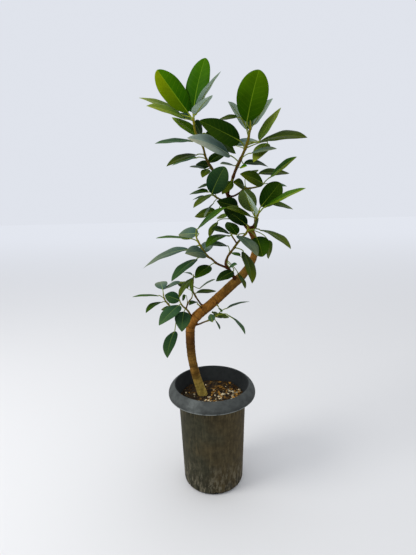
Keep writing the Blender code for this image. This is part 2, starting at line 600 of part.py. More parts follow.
class Leaf:
    """Where one blade lies: its foot on the stem, base, tip, the way it faces and its size."""

    def __init__(self, row, stems):
        foot, base, tip, length, width, faces, arch, shift = row
        self.foot = near_paths(stems, *foot)
        self.length = length * CM
        self.half = max(width, length * WIDTH_RATIO) * CM / 2
        self.arch = arch * 0.01 * self.length
        self.form = FORMS[faces[2]]
        shown = math.dist(base, tip)
        lean = math.sqrt(max(0.0, 1.0 - (shown / length) ** 2))
        way = -1.0 if faces[0] == "N" else 1.0
        foot_depth = self.foot.y / CM
        self.base = seen(*base, foot_depth + way * lean * PETIOLE_REACH + shift)
        self.tip = self.end_point(tip, way)
        self.along = (self.tip - self.base).normalized()
        to_eye = (EYE - (self.base + self.tip) / 2).normalized()
        front = (to_eye - self.along * to_eye.dot(self.along)).normalized()
        up = front.cross(self.along)
        if up.z < 0.0:
            up = -up
        turn = math.acos(min(1.0, width * CM / (2 * self.half)))
        if faces[1] == "l":
            turn = math.pi - turn
        self.normal = (front * math.cos(turn) + up * math.sin(turn)).normalized()
        self.side = self.normal.cross(self.along)

    def end_point(self, tip, way):
        """The tip: the point that shows there and is the blade's length away from its base."""
        ray = seen(*tip, 0.0) - EYE
        back = self.base - EYE
        middle = ray.dot(back) / ray.length_squared
        spare = middle ** 2 - (back.length_squared - self.length ** 2) / ray.length_squared
        return EYE + ray * (middle + way * math.sqrt(max(0.0, spare)))

    def point(self, across, t):
        """A point of the blade's middle surface, across from -1 to 1 and t along from base to tip."""
        wide = self.half * half_width(t, *self.form)
        rise = 4.0 * self.arch * t * (1.0 - t) + abs(across) * wide * math.sin(FOLD)
        return (self.base.lerp(self.tip, t) + self.side * (across * wide * math.cos(FOLD))
                + self.normal * rise)


def blade(name, leaf, where):
    """A leaf's blade: an open folded sheet with its outline, given its thickness."""
    stations = next(STATIONS[size] for size in STATIONS if leaf.length < size)
    rows = len(stations) - 1
    shape = bmesh.new()
    bmesh.ops.create_grid(shape, x_segments=2, y_segments=rows, size=1.0)
    for vert in shape.verts:
        station = round((vert.co.y + 1.0) / 2.0 * rows)
        vert.co = leaf.point(round(vert.co.x), stations[station])
    bmesh.ops.remove_doubles(shape, verts=shape.verts, dist=WELD)
    bmesh.ops.triangulate(shape, faces=shape.faces)
    made = bmesh_object(name, shape, where)
    thick = made.modifiers.new("thick", "SOLIDIFY")
    thick.thickness = BLADE_T
    thick.offset = 0.0
    return apply(made, where)


def petiole(name, leaf, where):
    """A leaf's stalk, from inside the stem into the foot of the blade."""
    start, end = leaf.foot, leaf.point(0.0, 0.05)
    reach = (end - start).length
    upward = (leaf.base - start).normalized().lerp(Vector((0.0, 0.0, 1.0)), PETIOLE_RISE)
    leave = upward * (reach * PETIOLE_BOW)
    arrive = leaf.along * (reach * PETIOLE_BOW)
    radius = max(PETIOLE_R * math.sqrt(leaf.length / 0.1), PETIOLE_LEAST)
    path = []
    for k in range(PETIOLE_PARTS + 1):
        t = k / PETIOLE_PARTS
        point = (start * (1 - t) ** 3 + (start + leave) * (3 * t * (1 - t) ** 2)
                 + (end - arrive) * (3 * t * t * (1 - t)) + end * t ** 3)
        path.append((point, radius))
    return tube(name, path, PETIOLE_SIDES, where)


def make_shoot(name, stem, where):
    """A leafy shoot: its stem, side twig, petioles and blades in one body."""
    pieces = new_collection(name + "_pieces")
    first = tube(name, stem, STEM_SIDES, where)
    stems = [stem]
    if name in SIDE_TWIGS:
        stems.append(smooth_path(SIDE_TWIGS[name], 1))
        tube("twig", stems[1], STEM_SIDES, pieces)
    for row in LEAVES[name]:
        leaf = Leaf(row, stems)
        blade("blade", leaf, pieces)
        petiole("petiole", leaf, pieces)
    return fuse(name, first, pieces, FOLIAGE, where)


def stub_length(path, wood, stub):
    """How far a stem's path runs before it is clear of the wood that carries it."""
    gone = 0.0
    for (start, _), (end, _) in zip(path, path[1:]):
        for k in range(SEARCH_STEPS):
            point = start.lerp(end, k / SEARCH_STEPS)
            free = min((point - knot).length - radius for knot, radius in wood)
            if free > stub:
                return gone + (end - start).length * k / SEARCH_STEPS
        gone += (end - start).length
    raise ValueError("the stem never leaves the wood")


def make_trunk(where):
    """The trunk with its leader, the branch's woody foot and a stub for each shoot."""
    wood = smooth_path(TRUNK, 2)
    leader, _ = cut_path(wood, path_length(wood) - LEADER_CUT, GAP)
    pieces = new_collection("trunk_pieces")
    trunk = tube("trunk", leader, TRUNK_SIDES, where)
    branch = smooth_path(BRANCH, 1)
    tube("branch", branch, STUB_SIDES, pieces)
    stems = {}
    for name in STEMS:
        path = smooth_path(STEMS[name], 1)
        if name == "shoot_crown_right":
            stems[name] = continue_from(path, leader[-1][0])
            continue
        carried_by, stub = (branch, FORK_STUB) if name.startswith("shoot_inner") else (wood, STUB)
        low, high = cut_path(path, stub_length(path, carried_by, stub), GAP)
        stems[name] = high
        tube("stub", [(point, radius * STUB_SWELL) for point, radius in low], STUB_SIDES, pieces)
    fuse("trunk", trunk, pieces, BARK, where)
    return stems


def path_length(path):
    """The length of a path."""
    return sum((end - start).length for (start, _), (end, _) in zip(path, path[1:]))


def continue_from(path, last):
    """The part of a path that goes on past a point of it, a gap away."""
    for i, (point, radius) in enumerate(path):
        if point.z > last.z + GAP and (point - last).length > GAP * 3:
            onward = (point - last).normalized()
            return [(last + onward * GAP, radius)] + path[i:]
    raise ValueError("the path ends before the point")


def turned(name, profile, where):
    """A turned shape from an outline in the XZ plane that runs down its outer side."""
    shape = bmesh.new()
    verts = [shape.verts.new((r, 0.0, z)) for r, z in profile]
    for start, end in zip(verts, verts[1:]):
        shape.edges.new((start, end))
    made = bmesh_object(name, shape, where)
    screw = made.modifiers.new("turn", "SCREW")
    screw.steps = POT_STEPS
    screw.render_steps = POT_STEPS
    screw.use_merge_vertices = True
    screw.merge_threshold = WELD
    return apply(made, where)


def inner_wall(z):
    """The radius of the pot's inside at a height."""
    foot, neck = FOOT_R - WALL, NECK_R - WALL
    if z <= NECK_Z:
        return foot + (neck - foot) * (z - FOOT_Z) / (NECK_Z - FOOT_Z)
    return neck + (MOUTH_R - neck) * (z - NECK_Z) / (MOUTH_Z - NECK_Z)


def pot_profile():
    """The pot's outline: inner floor, inner wall, collar, outer wall, underside."""
    corner_r = inner_wall(FOOT_Z)
    inside = [(0.0, FLOOR_T), (corner_r - FOOT_ROUND / 2, FLOOR_T), (corner_r, FLOOR_T + FOOT_ROUND / 2)]
    inside += [(inner_wall(z), z) for z in (HALF_WAY_Z, NECK_Z, (NECK_Z + MOUTH_Z) / 2, MOUTH_Z)]
    outside = [(NECK_R, NECK_Z), ((NECK_R + FOOT_R) / 2, HALF_WAY_Z), (FOOT_R, FOOT_Z),
               (FOOT_R - FOOT_ROUND * 0.3, FOOT_ROUND * 0.6), (FOOT_R - FOOT_ROUND, 0.0), (0.0, 0.0)]
    return inside + list(COLLAR) + outside


def make_pot(where, cutters):
    """The nursery pot, with drain slots round its foot."""
    pot = turned("pot", pot_profile(), where)
    for i in range(DRAINS):
        around = 2.0 * math.pi * (i + 0.5) / DRAINS + math.radians(4.0)
        shape = bmesh.new()
        bmesh.ops.create_cone(shape, cap_ends=True, segments=10, radius1=DRAIN_R, radius2=DRAIN_R,
                              depth=DRAIN_DEEP)
        place = (Matrix.Rotation(around, 4, "Z") @ Matrix.Translation((FOOT_R - FOOT_ROUND / 2, 0.0, DRAIN_Z))
                 @ Matrix.Rotation(math.pi / 2, 4, "Y"))
        bmesh.ops.transform(shape, matrix=place, verts=shape.verts)
        cutter = bmesh_object(f"drain_{i}", shape, cutters)
        cutter.hide_render = True
        cutter.display_type = "WIRE"
    cut = pot.modifiers.new("drains", "BOOLEAN")
    cut.operation = "DIFFERENCE"
    cut.solver = "EXACT"
    cut.operand_type = "COLLECTION"
    cut.collection = cutters
    pot.data.materials.append(material("pot", PLASTIC))
    pot.data.shade_smooth()
    pot.data.set_sharp_from_angle(angle=math.radians(38.0))
    return pot


def soil_height(x, y):
    """The height of the soil's uneven top."""
    return SOIL_Z + 2.0 * SOIL_ROUGH * noise.noise(Vector((x, y, 0.0)) * SOIL_WAVES)


def make_soil(where, cutters):
    """The soil, filling the pot, with a rough top, grains and the hole the trunk stands in."""
    top_r = inner_wall(SOIL_Z - SOIL_EDGE) - GAP
    corner_r = inner_wall(FOOT_Z) - GAP
    profile = [(0.0, SOIL_Z)] + [(top_r * part, SOIL_Z) for part in SOIL_RINGS]
    profile += [(top_r, SOIL_Z - SOIL_EDGE), (inner_wall(NECK_Z) - GAP, NECK_Z),
                (inner_wall(HALF_WAY_Z) - GAP, HALF_WAY_Z),
                (corner_r, FLOOR_T + FOOT_ROUND / 2 + GAP), (corner_r - FOOT_ROUND / 2, FLOOR_T + GAP),
                (0.0, FLOOR_T + GAP)]
    soil = turned("soil", profile, where)
    for vert in soil.data.vertices:
        if vert.co.z > SOIL_Z - SOIL_EDGE / 2:
            vert.co.z = soil_height(vert.co.x, vert.co.y)
    pieces = new_collection("soil_pieces")
    scatter_grains(top_r, pieces)
    made = fuse("soil", soil, pieces, EARTH, where)
    below = [(point, radius) for point, radius in smooth_path(TRUNK, 2) if point.z < SOIL_Z + HOLE_TOP]
    start, radius = below[0]
    down = (start - below[1][0]).normalized()
    hole = tube("trunk_hole", [(start + down * GAP, radius)] + below[1:], TRUNK_SIDES, cutters, grow=GAP)
    hole.hide_render = True
    hole.display_type = "WIRE"
    bore = made.modifiers.new("hole", "BOOLEAN")
    bore.operation = "DIFFERENCE"
    bore.solver = "EXACT"
    bore.object = hole
    return made


def scatter_grains(top_r, where):
    """Coarse grains half sunk in the soil's top, apart from each other and clear of the trunk."""
    draw = random.Random(5)
    foot = min(smooth_path(TRUNK, 4), key=lambda knot: abs(knot[0].z - SOIL_Z))[0]
    placed = [(Vector((foot.x, foot.y, 0.0)), TRUNK_CLEAR)]
    while len(placed) <= GRAINS:
        around = draw.uniform(0.0, 2.0 * math.pi)
        size = draw.uniform(*GRAIN_R)
        out = math.sqrt(draw.random()) * (top_r - 2.0 * size)
        spot = Vector((out * math.cos(around), out * math.sin(around), 0.0))
        if any((spot - other).length < size + reach + GRAIN_APART for other, reach in placed):
            continue
        placed.append((spot.copy(), size))
        spot.z = soil_height(spot.x, spot.y)
        shape = bmesh.new()
        bmesh.ops.create_icosphere(shape, subdivisions=1, radius=size)
        axis = Vector((draw.random(), draw.random(), 0.5)).normalized()
        place = (Matrix.Translation(spot) @ Matrix.Rotation(draw.uniform(0.0, math.pi), 4, axis)
                 @ Matrix.Diagonal(GRAIN_SHAPE))
        bmesh.ops.transform(shape, matrix=place, verts=shape.verts)
        bmesh_object("grain", shape, where)


def main():
    clear_scene()
    plant = new_collection("potted_port_jackson_fig")
    pot_cutters = new_collection("pot_cutters")
    soil_cutters = new_collection("soil_cutters")
    stems = make_trunk(plant)
    for name, stem in stems.items():
        make_shoot(name, stem, plant)
    make_pot(plant, pot_cutters)
    make_soil(plant, soil_cutters)


main()
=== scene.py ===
"""Dresses a potted Port Jackson fig: an old nursery pot, potting mix, a bent woody trunk and leafy shoots.

Stems and leaves are placed by where they show from the front: x and z are centimetres on the
upright plane through the pot's axis, as seen from EYE, and depth is how far behind that plane
(in front of it, if negative) the point really lies, in centimetres.
"""
import json
import math
import random

import bmesh
import bpy
import numpy as np
from mathutils import Euler, Matrix, Vector, noise

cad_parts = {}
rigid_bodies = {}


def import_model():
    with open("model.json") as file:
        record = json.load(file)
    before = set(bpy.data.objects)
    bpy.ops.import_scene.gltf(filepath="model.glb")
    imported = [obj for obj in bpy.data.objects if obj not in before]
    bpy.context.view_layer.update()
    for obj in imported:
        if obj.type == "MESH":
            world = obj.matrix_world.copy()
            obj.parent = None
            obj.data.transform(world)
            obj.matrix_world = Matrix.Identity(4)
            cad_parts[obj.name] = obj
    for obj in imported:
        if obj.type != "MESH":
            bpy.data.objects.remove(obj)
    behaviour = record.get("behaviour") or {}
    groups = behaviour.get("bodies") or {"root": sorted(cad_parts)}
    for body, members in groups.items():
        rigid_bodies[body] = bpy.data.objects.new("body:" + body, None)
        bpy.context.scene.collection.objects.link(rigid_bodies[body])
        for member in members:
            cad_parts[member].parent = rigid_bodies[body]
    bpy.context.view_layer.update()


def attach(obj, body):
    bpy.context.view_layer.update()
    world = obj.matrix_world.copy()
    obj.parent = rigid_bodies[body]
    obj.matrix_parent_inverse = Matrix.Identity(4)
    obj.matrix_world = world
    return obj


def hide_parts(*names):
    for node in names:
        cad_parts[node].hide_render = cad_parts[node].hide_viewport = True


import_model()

bl_info = {
    "name": "Potted Port Jackson fig",
    "version": (1, 0, 0),
    "blender": (4, 5, 0),
    "location": "View3D > Sidebar > Fig",
    "description": "Builds a young fig tree in a nursery pot, leaf by leaf",
    "category": "Add Mesh",
}

CM = 0.01
ROOT = "root"

# The camera: where it stands, its tilts in degrees and its lens in millimetres.
EYE = Vector((0.0, -0.923, 0.752))
PITCH = 13.9
YAW = 0.21
ROLL = -1.3
FOCAL = 27.05
SENSOR = 36.0

# Half the floor's width, and how far back it starts and ends turning into the backdrop.
FLOOR_HALF = 6.0
FADE_START = 0.5
FADE_END = 4.5

# The lamp at the upper left: its place, its width and the point that it shines at.
LAMP = (-1.6, -0.6, 1.7)
LAMP_WIDTH = 1.0
LAMP_AIM = (0.0, 0.0, 0.5)

# The pot's wall: its outer radius at the foot and the neck, its inner one at the mouth, and heights.
FOOT_R = 0.074
FOOT_Z = 0.010
FOOT_ROUND = 0.006
NECK_R = 0.081
NECK_Z = 0.224
MOUTH_R = 0.0875
MOUTH_Z = 0.2575
WALL = 0.0025
FLOOR_T = 0.003

# Heights of the edges between the wall's faces, inside and outside.
INNER_EDGES = (0.06, 0.12, 0.18, NECK_Z, 0.235, 0.246)
OUTER_EDGE = 0.12

# The height of the collar's lower edge, and the middle of a paler patch on it.
SKIRT_Z = 0.2355
PALE_PATCH = (-0.040, -0.090, 0.247)

# The collar's outline, radius and height: over the lip, down its outside and back up inside it.
COLLAR = (
    (0.0883, 0.2603),
    (0.0903, 0.2615),
    (0.0935, 0.2599),
    (0.0985, 0.2555),
    (0.1028, 0.2490),
    (0.1050, 0.2425),
    (0.1050, 0.2367),
    (0.1038, 0.2355),
    (0.1020, 0.2363),
    (0.1018, 0.2420),
    (0.0975, 0.2505),
    (0.0912, 0.2535),
    (0.0868, 0.2500),
    (0.0834, 0.2380),
)

# The drain slots round the foot: how many, radius, height, how deep they are cut, turn in degrees.
DRAINS = 6
DRAIN_R = 0.0042
DRAIN_Z = 0.0045
DRAIN_DEPTH = 0.012
DRAIN_TURN = 4.0

# The trunk and its leader: x, z, depth in centimetres, and radius in millimetres.
TRUNK = (
    (-0.9, 16.0, 1.0, 11.0),
    (-1.4, 19.0, 0.9, 12.2),
    (-2.1, 22.2, 0.8, 12.6),
    (-2.9, 25.0, 0.6, 11.0),
    (-3.8, 28.2, 0.4, 10.4),
    (-4.5, 31.8, 0.2, 10.2),
    (-4.8, 35.0, 0.0, 10.4),
    (-4.85, 37.6, -0.2, 10.9),
    (-4.75, 40.0, -0.3, 10.6),
    (-4.3, 41.6, -0.4, 11.0),
    (-3.3, 43.0, -0.5, 11.8),
    (-1.9, 44.3, -0.5, 11.6),
    (0.0, 45.8, -0.4, 11.2),
    (2.5, 48.05, 0.0, 11.0),
    (5.0, 50.4, 0.6, 11.0),
    (6.8, 52.0, 1.0, 10.6),
    (8.2, 53.6, 1.3, 9.6),
    (9.4, 55.4, 1.5, 8.6),
    (10.2, 57.4, 1.6, 8.0),
    (10.4, 59.3, 1.5, 7.4),
    (10.1, 61.2, 1.3, 7.2),
    (9.3, 62.9, 1.1, 7.2),
    (8.4, 63.9, 1.6, 5.0),
    (7.2, 65.5, 2.3, 4.4),
    (5.6, 68.0, 2.9, 4.2),
    (4.5, 70.2, 3.0, 4.1),
    (4.4, 71.4, 2.9, 3.9),
    (5.0, 72.8, 2.5, 3.6),
    (5.4, 74.0, 2.2, 3.4),
)
BRANCH = (
    (5.9, 51.6, 0.8, 4.6),
    (5.4, 52.6, -0.5, 3.9),
    (4.8, 53.6, -1.2, 3.6),
    (4.3, 54.4, -1.6, 3.9),
)
# A pruned twig's knob at the bend: along its short way out, as above.
KNOB = (
    (-3.9, 42.2, -0.5, 7.0),
    (-4.6, 42.9, -0.9, 4.4),
    (-4.8, 43.15, -1.0, 3.6),
)

# The trunk's colours on its way up: heights in metres and the wood settings that hold the colours.
TONES = (
    (0.205, "foot"),
    (0.248, "foot"),
    (0.285, "low"),
    (0.33, "low"),
    (0.38, "dark"),
    (0.415, "mid"),
    (0.47, "mid"),
    (0.52, "low"),
    (0.60, "mid"),
    (0.65, "high"),
    (0.76, "twig"),
)

# Each shoot's stem, as the trunk's rows.
STEMS = {
    "shoot_crown_left": (
        (4.4, 70.9, 3.0, 3.0),
        (3.3, 72.6, 3.4, 2.7),
        (2.0, 74.8, 3.6, 2.6),
        (0.8, 76.7, 3.6, 2.9),
        (-0.2, 78.6, 3.3, 2.4),
        (-0.7, 80.6, 2.9, 2.3),
        (-1.3, 82.2, 2.6, 2.3),
        (-2.2, 83.6, 2.2, 2.5),
        (-2.55, 85.2, 1.8, 2.3),
        (-2.6, 86.6, 1.5, 2.0),
        (-2.6, 88.0, 1.4, 0.5),
    ),
    "shoot_crown_right": (
        (5.0, 72.8, 2.5, 3.5),
        (5.4, 74.0, 2.2, 3.4),
        (5.85, 75.3, 1.9, 3.3),
        (6.5, 76.8, 1.5, 3.4),
        (7.1, 78.0, 1.2, 3.2),
        (7.95, 79.8, 0.8, 2.9),
        (8.4, 80.9, 0.6, 2.8),
        (8.85, 82.4, 0.4, 2.4),
        (9.2, 84.3, 0.2, 2.1),
        (9.2, 86.0, 0.2, 0.5),
    ),
    "shoot_upper_left": (
        (4.9, 69.3, 3.0, 2.4),
        (3.9, 69.5, 2.4, 2.2),
        (2.8, 69.8, 1.9, 2.0),
        (1.7, 70.4, 1.5, 1.9),
        (0.9, 71.2, 1.2, 0.6),
    ),
    "shoot_upper_right": (
        (4.6, 70.4, 3.0, 2.6),
        (5.7, 70.5, 3.6, 2.2),
        (7.0, 71.2, 4.0, 2.1),
        (8.0, 72.0, 4.2, 2.0),
        (9.5, 72.1, 4.3, 2.0),
        (11.4, 72.5, 4.2, 1.9),
        (12.3, 73.1, 4.1, 0.6),
    ),
    "shoot_fork_right": (
        (9.3, 62.9, 1.1, 4.6),
        (9.9, 63.6, 0.9, 4.1),
        (10.4, 64.5, 0.7, 3.4),
        (10.5, 65.4, 0.6, 3.0),
        (10.9, 66.3, 0.5, 2.4),
        (11.3, 67.4, 0.5, 0.6),
    ),
    "shoot_inner_right": (
        (4.3, 54.4, -1.6, 2.7),
        (3.75, 55.3, -2.0, 3.1),
        (3.9, 56.2, -2.3, 2.7),
        (4.2, 57.1, -2.6, 2.5),
        (4.8, 58.0, -2.8, 2.5),
        (5.6, 59.0, -2.9, 2.5),
        (6.3, 60.0, -2.8, 2.6),
        (7.3, 61.2, -2.4, 2.4),
        (8.1, 62.0, -2.0, 2.4),
        (8.6, 62.7, -1.8, 2.2),
        (8.8, 63.8, -1.7, 0.6),
    ),
    "shoot_inner_left": (
        (4.3, 54.4, -1.6, 2.5),
        (2.7, 55.1, -2.0, 2.6),
        (1.55, 55.7, -2.4, 2.5),
        (0.65, 56.6, -2.7, 2.4),
        (-0.35, 57.3, -2.9, 2.5),
        (-1.1, 58.4, -3.0, 2.1),
        (-1.75, 59.5, -2.9, 2.1),
        (-2.5, 61.0, -2.7, 2.0),
        (-2.9, 62.2, -2.6, 0.6),
    ),
    "shoot_low_left": (
        (-1.2, 45.0, -0.45, 2.6),
        (-2.1, 46.0, 0.6, 2.3),
        (-2.75, 47.0, 1.2, 2.1),
        (-3.35, 48.0, 1.8, 2.0),
        (-3.8, 49.0, 2.1, 1.9),
        (-3.9, 50.2, 2.3, 1.8),
        (-3.75, 51.6, 2.4, 1.7),
        (-3.6, 53.2, 2.4, 0.6),
    ),
    "shoot_low_front": (
        (-4.1, 42.3, -0.45, 2.8),
        (-5.0, 44.2, -1.6, 2.2),
        (-5.6, 44.95, -2.0, 2.1),
        (-6.4, 45.7, -2.5, 2.0),
        (-7.1, 47.0, -2.8, 0.6),
    ),
    "shoot_far_left": (
        (-4.7, 40.6, -0.35, 2.6),
        (-5.9, 42.7, 0.5, 2.3),
        (-7.3, 43.95, 0.9, 2.1),
        (-8.1, 44.5, 1.2, 2.0),
        (-9.05, 45.4, 1.5, 2.1),
        (-10.0, 46.6, 1.7, 1.8),
        (-10.5, 47.5, 1.8, 1.7),
        (-10.75, 48.9, 1.8, 0.6),
    ),
    "shoot_low_right": (
        (-4.45, 41.0, -0.35, 2.4),
        (-2.85, 41.1, -0.9, 2.1),
        (-1.6, 41.6, -1.1, 1.9),
        (-0.5, 42.0, -1.3, 1.8),
        (0.4, 42.5, -1.5, 1.7),
        (1.2, 43.0, -1.6, 1.6),
        (1.9, 43.6, -1.6, 0.6),
    ),
    "sprout_leader": (
        (7.0, 65.8, 2.4, 1.8),
        (5.9, 65.7, 1.9, 1.6),
        (4.7, 65.5, 1.6, 0.9),
    ),
    "sprout_trunk_top": (
        (9.3, 55.2, 1.5, 1.7),
        (8.4, 55.5, 0.2, 1.5),
        (7.6, 56.3, -0.3, 1.2),
    ),
    "sprout_bend": (
        (-1.6, 44.6, -0.5, 1.9),
        (-2.4, 45.6, -1.6, 1.6),
        (-3.0, 46.2, -1.9, 1.2),
    ),
    "sprout_under": (
        (1.3, 47.0, -0.2, 1.6),
        (1.6, 45.9, -1.6, 1.4),
        (2.0, 45.2, -2.0, 1.2),
    ),
}
SIDE_TWIGS = {
    "shoot_inner_right": (
        (6.3, 60.0, -2.8, 2.0),
        (5.8, 60.8, -3.1, 1.8),
        (5.3, 61.6, -3.4, 1.7),
        (4.8, 62.6, -3.6, 0.6),
    ),
    "shoot_low_front": (
        (-5.6, 44.95, -2.0, 1.8),
        (-5.05, 46.5, -2.2, 1.6),
        (-4.2, 47.6, -2.3, 1.5),
        (-4.0, 48.6, -2.3, 0.6),
    ),
}
